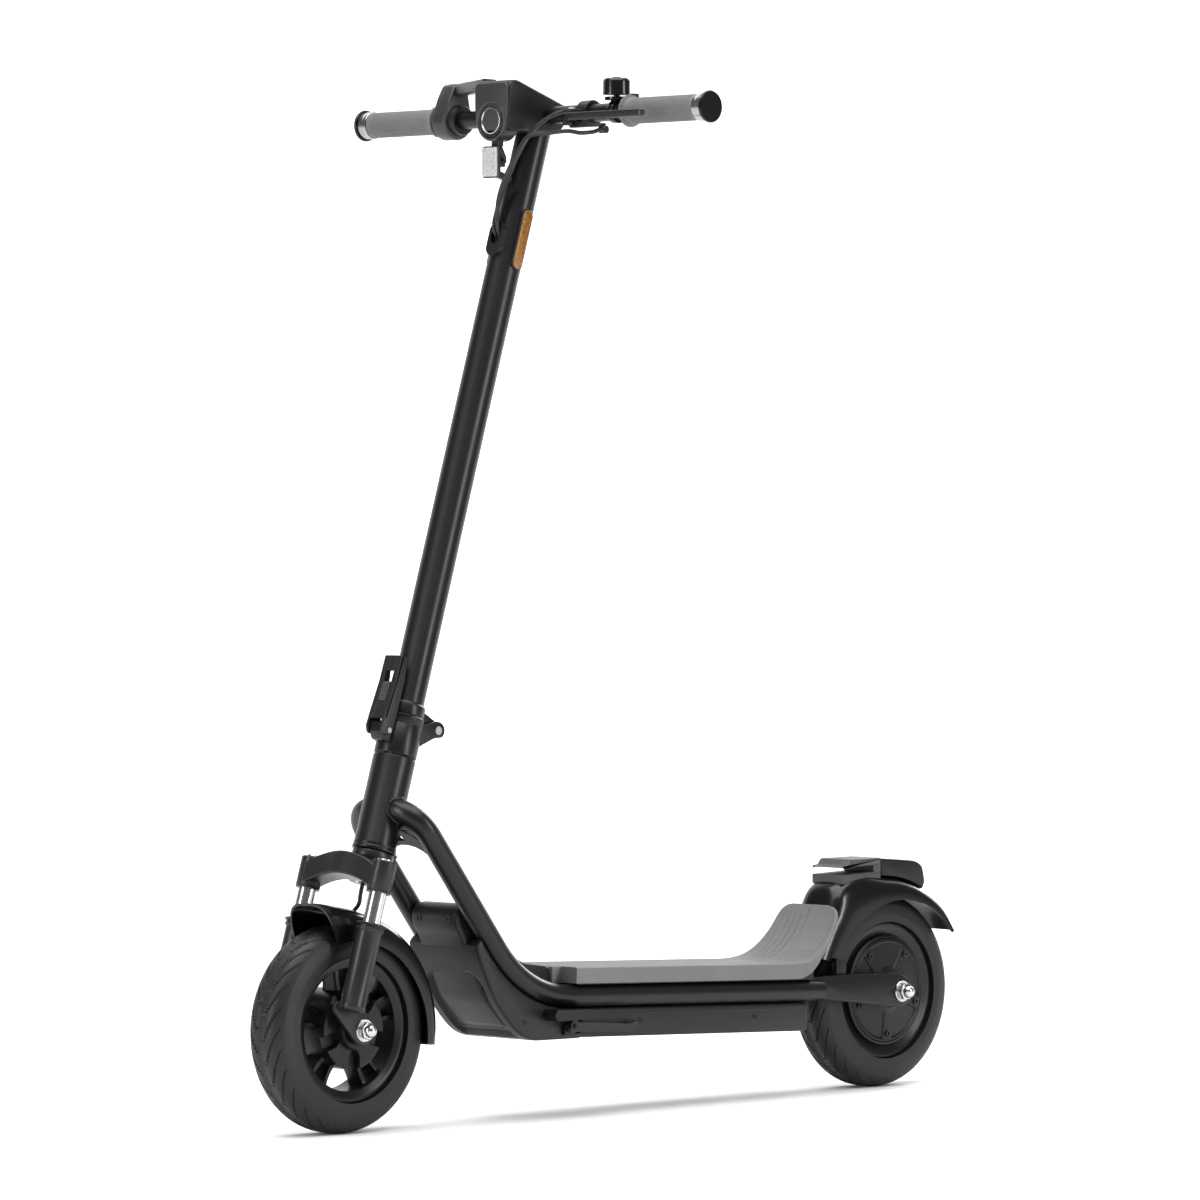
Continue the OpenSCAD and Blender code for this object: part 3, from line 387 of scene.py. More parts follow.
# What a finish is called: its slot, its two tones, its roughness and what else differs
looks = {
    "frameBlack": ("frame_black", 0.012, 0.007, 0.34, dict(grain=0.5, depth=0.03, specular=0.4)),
    "forkGrey": ("fork_grey", 0.028, 0.018, 0.36, dict(metal=0.2, depth=0.03)),
    "glossBlack": ("gloss_plastic", 0.009, 0.005, 0.24, dict(grain=0.6, depth=0.015, coat=0.15,
        specular=0.4)),
    "plasticBlack": ("black_plastic", 0.014, 0.008, 0.42, dict(grain=0.7, depth=0.06, specular=0.4)),
    "caseGrey": ("black_plastic", 0.019, 0.012, 0.42, dict(grain=0.7, depth=0.06, specular=0.4)),
    "podGrey": ("pod_plastic", 0.04, 0.026, 0.36, dict(grain=0.6, depth=0.04)),
    "hookGrey": ("pod_plastic", 0.07, 0.05, 0.45, dict(grain=0.6, depth=0.05)),
    "chrome": ("chrome", 0.62, 0.52, 0.24, dict(metal=1.0, grain=1.0, depth=0.004, roughSpread=0.05)),
    "silver": ("alloy", 0.42, 0.34, 0.26, dict(metal=1.0, grain=0.3, depth=0.01, stretch=(1, 12, 1))),
    "steel": ("steel", 0.5, 0.36, 0.34, dict(metal=1.0, depth=0.02)),
    "matRubber": ("mat_rubber", 0.17, 0.13, 0.62, dict(grain=0.5, depth=0.12, cloud=40)),
    "gripRubber": ("grip_rubber", 0.15, 0.115, 0.6, dict(grain=0.5)),
    "tyreRubber": ("tyre", 0.013, 0.008, 0.5, dict(grain=0.8, depth=0.12, extra=lighterNearGround)),
    "cord": ("cord", 0.018, 0.012, 0.42, dict(grain=0.8, depth=0.05)),
    "lamp": ("lens", 0.2, 0.1, 0.08, dict(coat=1.0, grain=2.0, depth=0.01)),
    "display": (None, 0.01, 0.006, 0.08, dict(coat=1.0, grain=3.0, depth=0.004)),
    "reflector": ("reflector", 0.5, 0.3, 0.2, dict(coat=0.6, cells=2.2, depth=0.25)),
    "amber": ("amber", (0.32, 0.14, 0.01, 1), (0.12, 0.045, 0.003, 1), 0.18,
              dict(coat=0.8, cells=2.0, depth=0.2)),
    "redLens": ("red_lens", (0.5, 0.012, 0.01, 1), (0.28, 0.004, 0.004, 1), 0.14,
                dict(coat=0.8, cells=2.4, depth=0.2)),
    "battery": (None, (0.03, 0.1, 0.3, 1), (0.02, 0.06, 0.2, 1), 0.3, dict(grain=1.0, depth=0.05)),
    "copper": (None, (0.6, 0.25, 0.1, 1), (0.4, 0.15, 0.06, 1), 0.3, dict(metal=1.0, grain=0.8)),
}
finishes = {}
for name, (slotName, color, dark, rough, more) in looks.items():
    finishes[name] = makeFinish(name, color, dark, rough, **more)
print("finishes made")

tyre = {"radius": 125.0, "bead": 88.2, "half": 31.0, "blocks": 27, "sipeDepth": 2.8, "lag": 1.7,
    "around": 1280, "across": 60}


# Section: a superellipse from bead to bead. The sipes are long curved cuts, staggered left and right: a
# point is in a cut when its angle, plus a lag that grows with its distance from the middle, is near a
# whole number of pitches.
def tyreShell():
    a = turns(tyre["around"])[:, None]
    b = np.linspace(0, np.pi, tyre["across"])[None]
    c, s = np.cos(b), np.sin(b)
    along = -np.sign(c) * tyre["half"] * np.abs(c) ** 0.62
    radius = tyre["bead"] + (tyre["radius"] - tyre["bead"]) * np.abs(s) ** 0.75
    side = np.abs(along)
    turn = a * tyre["blocks"] / (2 * np.pi)
    lag = tyre["lag"] * (side / 24) ** 1.4 + np.where(along > 0, 0.5, 0.0)
    phase = np.abs((turn - lag + 0.5) % 1 - 0.5)
    reach = smoothStep(4, 7, side) * (1 - smoothStep(24, 27, side))
    cutDepth = tyre["sipeDepth"] * (1 - smoothStep(0.03, 0.075, phase)) * reach
    band = 1.2 * (1 - smoothStep(0.6, 1.4, np.abs(side - 2.6)))
    ribs = 0.9 * np.exp(-(((radius - 98) / 1.3) ** 2)) + 0.7 * np.exp(-(((radius - 111) / 1.2) ** 2))
    r = radius - cutDepth - band
    along = along + np.sign(along) * ribs * (side > 25) * 0.6 + 0 * a
    along = np.clip(along, -tyre["half"], tyre["half"])
    return shell(spun(a, r, along), True, True, False)


makePiece("frontTyre", [tyreShell()], onWheel("front_wheel"), "front_wheel", "tyreRubber", "front_tyre",
    crease=50)
makePiece("rearTyre", [tyreShell()], onWheel("rear_wheel"), "rear_wheel", "tyreRubber", "rear_tyre",
    crease=50)
print("tyres made")

wheel = {"lip": 88.0, "half": 26.0, "spokes": 5, "hub": 48.0, "face": 30.0, "back": -36.0}


# The rim's section, from its well inside to the turned lips at both sides
def rimProfile(inner, halfInner):
    lip, half = wheel["lip"], wheel["half"]
    side = [[inner, halfInner], [inner + 1.5, halfInner + 1.2], [lip - 8, half - 1.6],
        [lip - 6.5, half - 0.4], [lip - 2.5, half], [lip - 0.6, half - 0.6], [lip, half - 2.2],
        [lip - 0.8, half - 3.4], [84.3, half - 4]]
    side = np.array(side)
    return np.vstack([side * [1, -1], side[::-1]])


# Hub with five rounded pockets that open outwards: the face drops where a point lies within half a
# width of a pocket's middle line.
def lobedHub():
    a = turns(320)[:, None]
    hub, back = wheel["hub"], wheel["back"]
    r = np.r_[9, 10, 18, 23.4, 24, np.linspace(25, 45.5, 26), hub - 1, hub][None]
    z = np.where(r <= 24, 38.0, wheel["face"]) - 0.8 * (np.abs(r - 23.9) < 0.2) - 1.2 * smoothStep(hub - 3,
        hub, r)
    turn = 2 * np.pi / wheel["spokes"]
    b = (a - math.radians(54) + turn / 2) % turn - turn / 2
    x, t = r * np.cos(b), r * np.sin(b)
    away = np.sqrt(t**2 + np.minimum(x - 34, 0) ** 2)
    z = z - 9 * (1 - smoothStep(7.5, 9.5, away)) * (r > 24)
    top = spun(a, r, z)
    wall = np.array([[hub, 20.5], [hub, back + 1.2], [hub - 1.2, back], [40.6, back], [40, back + 0.6],
        [40, -14.2], [9, -14.2]])
    low = spun(a, wall[:, 0], wall[:, 1])
    return shell(np.concatenate([top, low], 1), True, True, False)


# A spoke: a rounded bar that runs out from the hub, narrowest in the middle
def spoke(angle, offset, lean):
    x = np.linspace(44, 77, 9)
    t = (x - 60.5) / 16.5
    wide, deep = 3.6 + 1.3 * t**2, 12.5 + 2.2 * t**2
    a = turns(20)[None]
    c, s = np.cos(a), np.sin(a)
    y = wide[:, None] * np.sign(c) * np.abs(c) ** 0.4 + offset + lean * (x - 44)[:, None]
    z = deep[:, None] * np.sign(s) * np.abs(s) ** 0.4
    return moved(shell(np.stack([x[:, None] + 0 * a, y, z], -1)), (0, 0, 0), angle)


def frontWheel():
    shells = [revolve(rimProfile(74, 22), 144, True), lobedHub()]
    for k in range(wheel["spokes"]):
        for s in (-1, 1):
            shells.append(spoke(math.radians(72 * k + 18), s * 8, s * 0.16))
    makePiece("frontWheelCasting", shells, onWheel("front_wheel"), "front_wheel", "frameBlack", "front_rim")


frontWheel()

motor = {"ring": 72.0, "screws": 5, "screwCircle": 56.0, "drop": 1.8}


# A motor cover: its section turned round the axle. It is lower between the five bands that lead to the
# screws, where a point lies more than half a band's width from the nearest band's middle line.
def coverShell(side):
    a = turns(600)[:, None]
    r = np.r_[8.2, 23, 24.2, 25, 26, 28, np.linspace(29.5, 61, 40), 62, 63.2, 64, 66, 66.8, 67.6, 70,
        71][None]
    h = np.interp(r, [8, 23, 24.2, 28, 61, 63.2, 64, 66, 66.8, 67.6, 70, 71],
        [34, 34, 33.2, 31.6, 29.6, 29.4, 28.2, 28, 26.8, 27.8, 27.2, 26])
    turn = 2 * np.pi / motor["screws"]
    b = (a + np.pi / 2 + turn / 2) % turn - turn / 2
    away = np.abs(r * np.sin(b)) - 0.03 * (r - 26)
    h = h - motor["drop"] * smoothStep(6.2, 7.6, away) * smoothStep(27, 30,
        r) * (1 - smoothStep(61, 62.6, r))
    top = spun(a, r, h)
    under = spun(a, np.array([71, 8.2]), 22.2)
    return shell(np.concatenate([top, under], 1) * [1, 1, side], True, True, False)


def rearWheel():
    profile = np.vstack([rimProfile(72, 22), [[motor["ring"] - 4, 21.9], [motor["ring"] - 5, 21],
        [motor["ring"] - 5, -21], [motor["ring"] - 4, -21.9]]])
    makePiece("rearRim", [revolve(profile, 144, True)], onWheel("rear_wheel"), "rear_wheel", "frameBlack",
        "motor_shell")
    makePiece("motorCovers", [coverShell(1), coverShell(-1)], onWheel("rear_wheel"), "rear_wheel",
        "frameBlack", "motor_covers", crease=30)
    heads = []
    head = [[0, 1.4], [1.7, 1.4], [1.9, 3.3], [3.4, 3.3], [4.2, 2.6], [4.2, 0], [0, 0]]
    for k in range(motor["screws"]):
        turn = math.radians(72 * k - 90)
        for s in (-1, 1):
            screw = revolve(head, 24)
            screw["grid"] = screw["grid"] * [1, 1, s]
            heads.append(moved(screw, (motor["screwCircle"] * math.cos(turn),
                motor["screwCircle"] * math.sin(turn), s * 29.0)))
    makePiece("coverScrews", heads, onWheel("rear_wheel"), "rear_wheel", "forkGrey")


rearWheel()


# Axle ends: a hexagon nut, a washer and a domed cap
def axleEnds(name, inner, outer, tip, body, place, node):
    a = turns(6)
    hexagon = np.stack([11.2 * np.cos(a), 11.2 * np.sin(a)], 1)
    shaft = [[0, inner], [6, inner], [6, outer - 0.2], [0, outer - 0.2]]
    washer = [[0, outer], [13.5, outer], [13.8, outer + 0.8], [13.2, outer + 1.6], [0, outer + 1.6]]
    dome = [[0, outer + 8], [7.4, outer + 8], [8.2, outer + 9.4]]
    dome += [[8.2 * math.cos(t), outer + 10.5 + (tip - outer - 10.5) * math.sin(t)] for t in np.linspace(0,
        1.57, 8)]
    dome[-1][0] = 0
    nut = plate(rounded(hexagon, 1.4, 3), outer + 1.5, outer + 8.6, 0.9)
    shells = bothSides([revolveY(shaft, 32), revolveY(washer, 48), nut, revolveY(dome, 48)])
    makePiece(name, shells, place, body, "chrome", node)


fork = {"legY": 62.0, "ahead": 35.5, "crown": 293.1, "crownHigh": 37.0, "axleX": -4.23, "axleZ": 132.1,
    "lowerTop": 253.1, "footZ": 146.1}
axleEnds("frontAxleEnds", 0, 48.2, 66.5, "fork_lower", lambda p: laid(p, spin["front_wheel"], steerAhead,
    left, steerUp), "front_axle")
axleEnds("rearAxleEnds", 0, 56.2, 75.0, "frame", lambda p: laid(p, spin["rear_wheel"]), "rear_axle")


# The crown: an arched bridge between two clamps. Its upper and lower edges are parabolas in Y.
def forkCrown():
    f = fork
    y = np.linspace(-f["legY"], f["legY"], 49)
    arch = 16 * (1 - (y / f["legY"]) ** 2)
    over, under = f["crown"] + 29 + arch, f["crown"] + 1 + arch
    bridge = []
    section = rounded([[-1, -1], [1, -1], [1, 1], [-1, 1]], 0.22, 4)
    for k in range(len(y)):
        mid, high = (over[k] + under[k]) / 2, (over[k] - under[k]) / 2
        half = 14.6 + 3.0 * np.exp(-((y[k] / 20) ** 2))
        bridge.append(np.stack([f["ahead"] + half * section[:, 0], np.full(len(section), y[k]),
            mid + high * section[:, 1]], 1))
    low, high = f["crown"], f["crown"] + f["crownHigh"]
    clamp = [[11.1, low - 1.4], [14.6, low - 1.4], [14.9, low - 0.4], [14.2, low + 0.4], [15, low + 1.6],
        [15, high - 1.2], [14, high], [11.1, high]]
    clamps = [moved(revolve(clamp, 64, True), (f["ahead"], s * f["legY"], 0)) for s in (-1, 1)]
    hub = [[14.4, 310.1], [22, 310.1], [23, 311.2], [23, 335.6], [23.6, 337], [25, 339.5], [25.4, 341],
        [25.4, 347.4], [24.8, 348.6], [14.4, 349.4]]
    web = plateZ(rounded([[0, -23], [30, -19], [34, -12], [34, 12], [30, 19], [0, 23]], 6), 311, 336.5, 2.0)
    makePiece("forkCrown", [shell(bridge), revolve(hub, 72, True), web] + clamps, onSteer, "fork_upper",
        "forkGrey", "fork_crown")
    cap = [[0, high + 3], [7.6, high + 3], [9.2, high + 2.2], [9.6, high + 0.6], [10.6, high + 0.2],
        [10.9, low], [11, 200], [0, 200]]
    tubes = [moved(revolve(cap, 72), (f["ahead"], s * f["legY"], 0)) for s in (-1, 1)]
    makePiece("forkStanchions", tubes, onSteer, "fork_upper", "chrome", "stanchions")


forkCrown()


# One lower leg: a tube with a double lip at its top, a foot ring and a three-cornered dropout
def lowerLeg():
    f = fork
    t, b = f["lowerTop"], f["footZ"]
    leg = [[11.05, t], [17.6, t], [18.9, t - 0.8], [19, t - 1.8], [18.2, t - 2.8], [16.6, t - 3.6],
        [16.4, t - 5], [17.3, t - 6], [17.6, t - 7.4], [17.2, t - 8.6], [15.9, t - 9.8], [15.5, t - 11],
        [15.5, b + 8], [15.9, b + 7], [15.9, b + 3.6], [15.2, b + 2.6], [14.8, b + 0.8], [13.4, b], [0, b],
        [0, b + 10], [11.05, b + 10]]
    leg = moved(revolve(leg, 64, True), (f["ahead"], f["legY"], 0))
    ax, az = f["axleX"], f["axleZ"]
    outline = [[f["ahead"] - 14, b + 9], [f["ahead"] + 14, b + 9], [f["ahead"] + 15, b - 3],
        [ax + 15, az - 13], [ax + 6, az - 18], [ax - 6, az - 17.6], [ax - 16, az - 10], [ax - 17.6, az],
        [ax - 13, az + 12]]
    dropout = plate(rounded(outline, 7, 6), 42, 48, 1.6)
    foot = plateX(rounded([[43, b + 0.5], [43, b + 9.5], [62, b + 9.5], [62, b + 0.5]], 3),
        f["ahead"] - 11.5, f["ahead"] + 11.5, 2)
    stud = moved(revolveY([[0, 38.3], [4.2, 38.3], [4.5, 39], [4.5, 50], [0, 50]], 32),
        (f["ahead"], 0, f["lowerTop"] - 17))
    return [leg, dropout, foot, stud]


legs = bothSides(lowerLeg())
makePiece("forkLegLeft", legs[:4], onSteer, "fork_lower", "forkGrey", "fork_leg_left")
makePiece("forkLegRight", legs[4:], onSteer, "fork_lower", "forkGrey", "fork_leg_right")


# A round-cornered section from skirt to crown to skirt, swept by angle round the axle, with a bead on
# its edges
def guardShell(a0, a1, steps, crown, skirt, half, wall):
    a = np.radians(np.linspace(a0, a1, steps))
    deg = np.degrees(a)
    ro = np.interp(deg, [p[0] for p in crown], [p[1] for p in crown])
    rs = np.interp(deg, [p[0] for p in skirt], [p[1] for p in skirt])
    ro = np.convolve(np.pad(ro, 4, "edge"), np.ones(9) / 9, "valid")
    b = np.linspace(0, np.pi, 33)[None]
    c, s = np.cos(b), np.sin(b)
    bead = 0.7 * np.exp(-((np.minimum(np.arange(steps), steps - 1 - np.arange(steps)) / 1.2) ** 2))[:, None]

    def arch(out, w):
        y = np.sign(c) * w * np.abs(c) ** 0.6 + 0 * rs[:, None]
        return y, rs[:, None] + (out[:, None] - rs[:, None]) * np.abs(s) ** 0.6

    yo, zo = arch(ro, half)
    yi, zi = arch(ro - wall, half - wall)
    zo = zo + bead * s
    y, r = np.concatenate([yo, yi[:, ::-1]], 1), np.concatenate([zo, zi[:, ::-1]], 1)
    return shell(np.stack([r * np.cos(a)[:, None], y, r * np.sin(a)[:, None]], -1))


makePiece("rearMudguard", [guardShell(20, 149, 110, [(14, 150), (30, 147), (38, 148), (44, 150), (47, 151),
    (49, 155), (52, 161.5), (57, 165), (62, 164), (90, 146), (123, 146), (136, 148), (149, 144)],
    [(14, 110), (66, 109), (82, 112), (103, 119), (125, 127), (149, 136)], 39, 3)],
    lambda p: laid(p, spin["rear_wheel"]), "frame", "glossBlack", "rear_fender")
makePiece("frontMudguard", [guardShell(72, 191, 110, [(72, 160), (84, 148), (100, 140), (120, 138),
    (192, 138)], [(72, 108), (100, 104), (150, 108), (192, 116)], 38, 2.5)],
    lambda p: laid(p, spin["front_wheel"]), "fork_lower", "glossBlack", "front_fender")
print("wheels and fork made")

rail = {"side": 55.0, "radius": 14.0, "start": -316.0, "deckLength": 451.0, "bend": 50.0,
    "bendRadius": 165.0, "slope": 181.0, "neckRadius": 37.0}


# The left rail's middle line: straight, an arc up, straight, and a quarter turn in to the head tube
def railPath():
    r = rail
    start = np.array([r["start"], r["side"], deck["height"] + r["start"] * math.tan(deck["tilt"])])
    bendStart = start + r["deckLength"] * deckAhead
    a = np.radians(np.linspace(0, r["bend"], 21))[:, None]
    arc = bendStart + r["bendRadius"] * (np.sin(a) * deckAhead + (1 - np.cos(a)) * deckUp)
    t = math.radians(r["bend"])
    slope = math.cos(t) * deckAhead + math.sin(t) * deckUp
    slopeEnd = arc[-1] + r["slope"] * slope
    b = np.radians(np.linspace(0, 90, 15))[:, None]
    neck = slopeEnd + r["neckRadius"] * (np.sin(b) * slope - (1 - np.cos(b)) * left)
    line = np.vstack([start + np.linspace(0, 1, 12)[:-1, None] * (bendStart - start), arc,
        arc[-1] + np.linspace(0, 1, 8)[1:-1, None] * (slopeEnd - arc[-1]), neck, neck[-1:] - [[0, 5, 0]]])
    return line, slope


# The tube's rings keep turning with the path, so the frames are carried along from the last one
def railShell():
    path, slope = railPath()
    t = np.gradient(path, axis=0)
    t = unit(t)
    side = np.zeros_like(t)
    side[0] = left
    for k in range(1, len(t)):
        side[k] = side[k - 1] - t[k] * np.dot(side[k - 1], t[k])
        side[k] /= np.linalg.norm(side[k])
    other = np.cross(t, side)
    a = turns(40)[None, :, None]
    r = np.full(len(path), rail["radius"])
    r[0] -= 1.2
    return shell(path[:, None] + r[:, None, None] * (np.cos(a) * side[:, None] + np.sin(a)
        * other[:, None]))


# A weld bead where the rail's skin, carried on across, meets the head tube
def weldBead():
    path, slope = railPath()
    end = path[-1]
    a = np.linspace(0, 2 * np.pi, 73)[:-1, None]
    square = np.cross(slope, left)
    ring = end + (rail["radius"] + 0.2) * (np.cos(a) * slope + np.sin(a) * square)
    foot, axis = steerFoot / mm, steerUp
    away = (ring - foot) - ((ring - foot) @ axis)[:, None] * axis
    flat = away[:, 0] ** 2 + away[:, 2] ** 2
    ring[:, 1] = np.sqrt(np.maximum(26.0**2 - flat, 4.0))
    t = np.roll(ring, -1, 0) - np.roll(ring, 1, 0)
    t = unit(t)
    out = ring - end
    out -= np.sum(out * t, 1, keepdims=True) * t
    out = unit(out)
    third = np.cross(t, out)
    b = turns(12)[None, :, None]
    size = (2.3 + 0.25 * np.sin(a[:, 0] * 36))[:, None, None]
    grid = ring[:, None] + size * (np.cos(b) * out[:, None] + np.sin(b) * third[:, None])
    return shell(grid, True, True, False)


makePiece("railLeft", [railShell(), weldBead()], onGround, "frame", "frameBlack", "frame_rail_left")
makePiece("railRight", [mirrored(railShell()), mirrored(weldBead())], onGround, "frame", "frameBlack",
    "frame_rail_right")

headTube = [[18, 350.1], [26.6, 350.1], [27, 350.8], [27, 353.6], [26.5, 354.3], [26.2, 355.4], [26.4, 356],
    [26.4, 358.4], [26, 359.2], [26, 465.6], [25.4, 467.1], [18, 467.1]]
makePiece("headTube", [revolve(headTube, 96, True)], onSteer, "frame", "frameBlack", "head_tube")


def rearArms():
    outline = [[-300, 151], [-403, 151], [-470, 147], [-486, 139], [-491.5, 125], [-486, 111], [-470, 104],
        [-403, 112], [-370, 116], [-330, 121], [-300, 123]]
    arm = plate(rounded(outline, [3, 20, 10, 10, 12, 10, 12, 20, 10, 10, 3], 6), 44, 56, 2.4)
    tab = plate(rounded([[-374, 149], [-356, 149], [-356, 173], [-374, 166]], 3), 39.2, 47, 1)
    makePiece("rearArms", bothSides([arm, tab]), onGround, "frame", "frameBlack", "rear_arms")


rearArms()

case = {"half": 62.0, "low": -51.0, "roof": -14.6, "back": -288.0, "panel": 6.0, "neckHalf": 40.4}
nose = [[110, 97], [200, 98], [220, 105], [236, 118], [252, 135], [266, 152], [282, 184], [292, 205],
    [296, 224]]


# The nose: its side outline carried across the deck. The front face is drawn in where a point lies
# inside a tall arch, as far as the panel's depth.
def noseShell():
    under = rail["bendRadius"] + rail["radius"] + 0.6
    arcs = deck["tilt"] + np.radians(np.linspace(rail["bend"], 0, 12))
    path, slope = railPath()
    centre = np.array([rail["start"], deck["height"] + rail["start"] * math.tan(deck["tilt"])])
    centre = centre + rail["deckLength"] * deckAhead[[0, 2]] + rail["bendRadius"] * deckUp[[0, 2]]
    arc = centre + under * np.stack([np.sin(arcs), -np.cos(arcs)], 1)
    tip = arc[0] + 28 * slope[[0, 2]]
    frontLine, length = evenly(rounded(nose, 14, 4)[3:-3], 90)
    back = np.vstack([tip, arc, [110, 132.6]])
    outline = np.vstack([frontLine, back])
    y = np.sin(np.linspace(-np.pi / 2, np.pi / 2, 61)) * 0.4 + np.linspace(-1, 1, 61) * 0.6
    y = y * case["half"]
    d = np.gradient(frontLine, axis=0)
    normal = unit(np.stack([-d[:, 1], d[:, 0]], 1))
    grid = []
    top, foot = length[-1] - 34, length[-1] - 148
    for v in y:
        across = np.abs(v)
        inside = np.minimum(48 - across, np.minimum(length - foot, top - length))
        corner = np.hypot(np.maximum(across - 26, 0), np.maximum(length - top + 24, 0))
        inside = np.where(length > top - 24, np.minimum(inside, 22 - corner), inside)
        draw = case["panel"] * smoothStep(0, 5, inside)
        second = np.minimum(inside - 14, length - foot)
        draw = draw + 2.2 * smoothStep(0, 4, second)
        line = frontLine + normal * draw[:, None]
        ring = np.vstack([line, back])
        edge = 5 * (1 - np.sqrt(np.clip(1 - np.clip((across - (case["half"] - 5)) / 5, 0, 1) ** 2, 0, 1)))
        ring = inset(ring, edge * 0.8) if edge > 0 else ring
        grid.append(np.stack([ring[:, 0], np.full(len(ring), v), ring[:, 1]], 1))
    return shell(grid)


def deckCase():
    c = case
    body = plateX(rounded([[-c["half"], c["low"]], [c["half"], c["low"]], [c["half"], c["roof"]],
        [-c["half"], c["roof"]]], 5), c["back"], 133, 3)
    ridge = block((c["back"] + 1, -c["neckHalf"] + 0.3, -41), (158, c["neckHalf"] - 0.3, 13.8), 1, 1.5)
    line = block((c["back"] + 12, 60.7, -23), (126, 62.1, -20.6), 0.3, 0.4)
    makePiece("caseBody", [body, ridge], onDeck, "frame", "caseGrey", "deck_case")
    makePiece("caseTrim", bothSides([line]), onDeck, "frame", "plasticBlack")
    makePiece("caseNose", [noseShell()], onGround, "frame", "caseGrey", crease=30)
    neck = [[150, 112], [225, 114], [262, 150], [282, 190], [300, 228], [309, 240], [311, 258], [303, 268],
        [284, 269], [272, 260], [250, 232], [222, 207], [196, 193], [150, 187]]
    shells = [plate(rounded(neck, 9, 5), -c["neckHalf"], c["neckHalf"], 5, 6)]
    makePiece("caseNeck", shells, onGround, "frame", "caseGrey")
    well = revolveX([[0, -1], [3.6, -1], [4.4, 0], [4.4, 0.5], [2.8, 0.5], [2.4, -0.4], [0, -0.4]], 32)
    makePiece("neckScrews", bothSides([moved(well, (310.3, 26, 250))]), onGround, "frame", "glossBlack")


deckCase()
head = [[0, 1.0], [1.6, 1.0], [1.8, 1.7], [2.8, 1.7], [3, 1.2], [3, 0.1], [0, 0.1]]
sideScrews = []
for screwX in (215, 15, -190):
    sideScrews.append(moved(revolveY(head, 32), (screwX, case["half"] - 0.9, -31)))
makePiece("caseScrews", bothSides(sideScrews), onDeck, "frame", "glossBlack", "case_screws")

mat = {"half": 68.0, "top": 35.5, "thick": 20.0, "ribPitch": 7.0, "ribDepth": 0.9, "border": 9.0}


# The mat: a section carried back along the deck and up the kick plate, whose corners are round because
# its half width shrinks as a quarter circle near the tip. Ribs run along the flat part. On the kick
# plate there are grooves on the far half, ridges across the bend on the near half and a dashed line
# beside the near edge.
def matShell():
    flat = laid(np.array([[133.8, 0, mat["top"]], [-270, 0, mat["top"]]]),
        np.array([0, 0, deck["height"] * mm]), deckAhead, left, deckUp)[:, [0, 2]] / mm
    climb = [[-286, 172.5], [-302, 176.5], [-322, 190], [-338, 207], [-349, 224], [-356.5, 239.5]]
    path, s = evenly(np.vstack([flat, climb]), 300)
    path[:, 1] = np.convolve(np.pad(path[:, 1], 10, "reflect", reflect_type="odd"), np.ones(21) / 21,
        "valid")
    t = np.gradient(path, axis=0)
    t = unit(t)
    down = np.stack([-t[:, 1], t[:, 0]], 1)
    toTip = (s[-1] - s)[:, None]
    half = mat["half"] - 16 * np.clip((105 - toTip) / 90, 0, 1) ** 0.8
    half = half - 20 * (1 - np.sqrt(np.clip(1 - np.clip((20 - toTip) / 20, 0, 1) ** 2, 0, 1)))
    thick = np.interp(toTip[:, 0], [0, 6, 60, 80, 100, 118], [2, 4, 5, 8, 15, mat["thick"]])
    y = half * np.linspace(-1, 1, 181)[None]
    fromEdge = half - np.abs(y)
    flatPart, kick = smoothStep(112, 122, toTip), 1 - smoothStep(104, 112, toTip)
    rib = (0.5 - 0.5 * np.cos(2 * np.pi * y / mat["ribPitch"])) ** 3 * smoothStep(0, 3,
        fromEdge - mat["border"])
    drop = mat["ribDepth"] * rib * flatPart * smoothStep(3, 9, s[:, None])
    farLine = 1 - smoothStep(0.5, 1.3, np.abs((y + 56) % 10.5 - 5.25))
    drop = drop + 1.2 * farLine * (y < 0) * (y > -50) * smoothStep(14, 18, toTip) * (1 - smoothStep(118,
        122, toTip))
    ridge = 0.5 + 0.5 * np.cos(2 * np.pi * toTip / 7.5)
    drop = drop + 1.1 * ridge * smoothStep(6, 9, y) * (1 - smoothStep(44, 47, y)) * kick * smoothStep(70,
        76, toTip)
    dash = (1 - smoothStep(0.6, 1.3, np.abs(y - 48))) * ((toTip % 8) < 4.6) * (toTip > 16) * (toTip < 86)
    seam = 1 - smoothStep(0.4, 1.0, np.abs(y - 2))
    drop = drop + 1.3 * dash + 1.0 * seam * (toTip < 108) * (toTip > 1)
    drop = drop + 1.6 * smoothStep(2.4, 0, fromEdge) ** 2
    top = path[:, None] + down[:, None] * drop[..., None]
    low = np.broadcast_to(path[:, None] + down[:, None] * thick[:, None, None], (len(path), 9, 2))
    y, z = np.concatenate([y, half * np.linspace(1, -1, 9)[None]], 1), np.concatenate([top, low], 1)
    return shell(np.stack([z[..., 0], y, z[..., 1]], -1))


def deckMat():
    tongue = block((130, -case["neckHalf"], 14), (149, case["neckHalf"], mat["top"] - 0.3), 1.2, 1.5)
    tongue["grid"] = onDeck(tongue["grid"]) / mm
    makePiece("deckMat", [matShell(), tongue], onGround, "frame", "matRubber", "deck_mat", crease=50)


deckMat()
print("deck made")


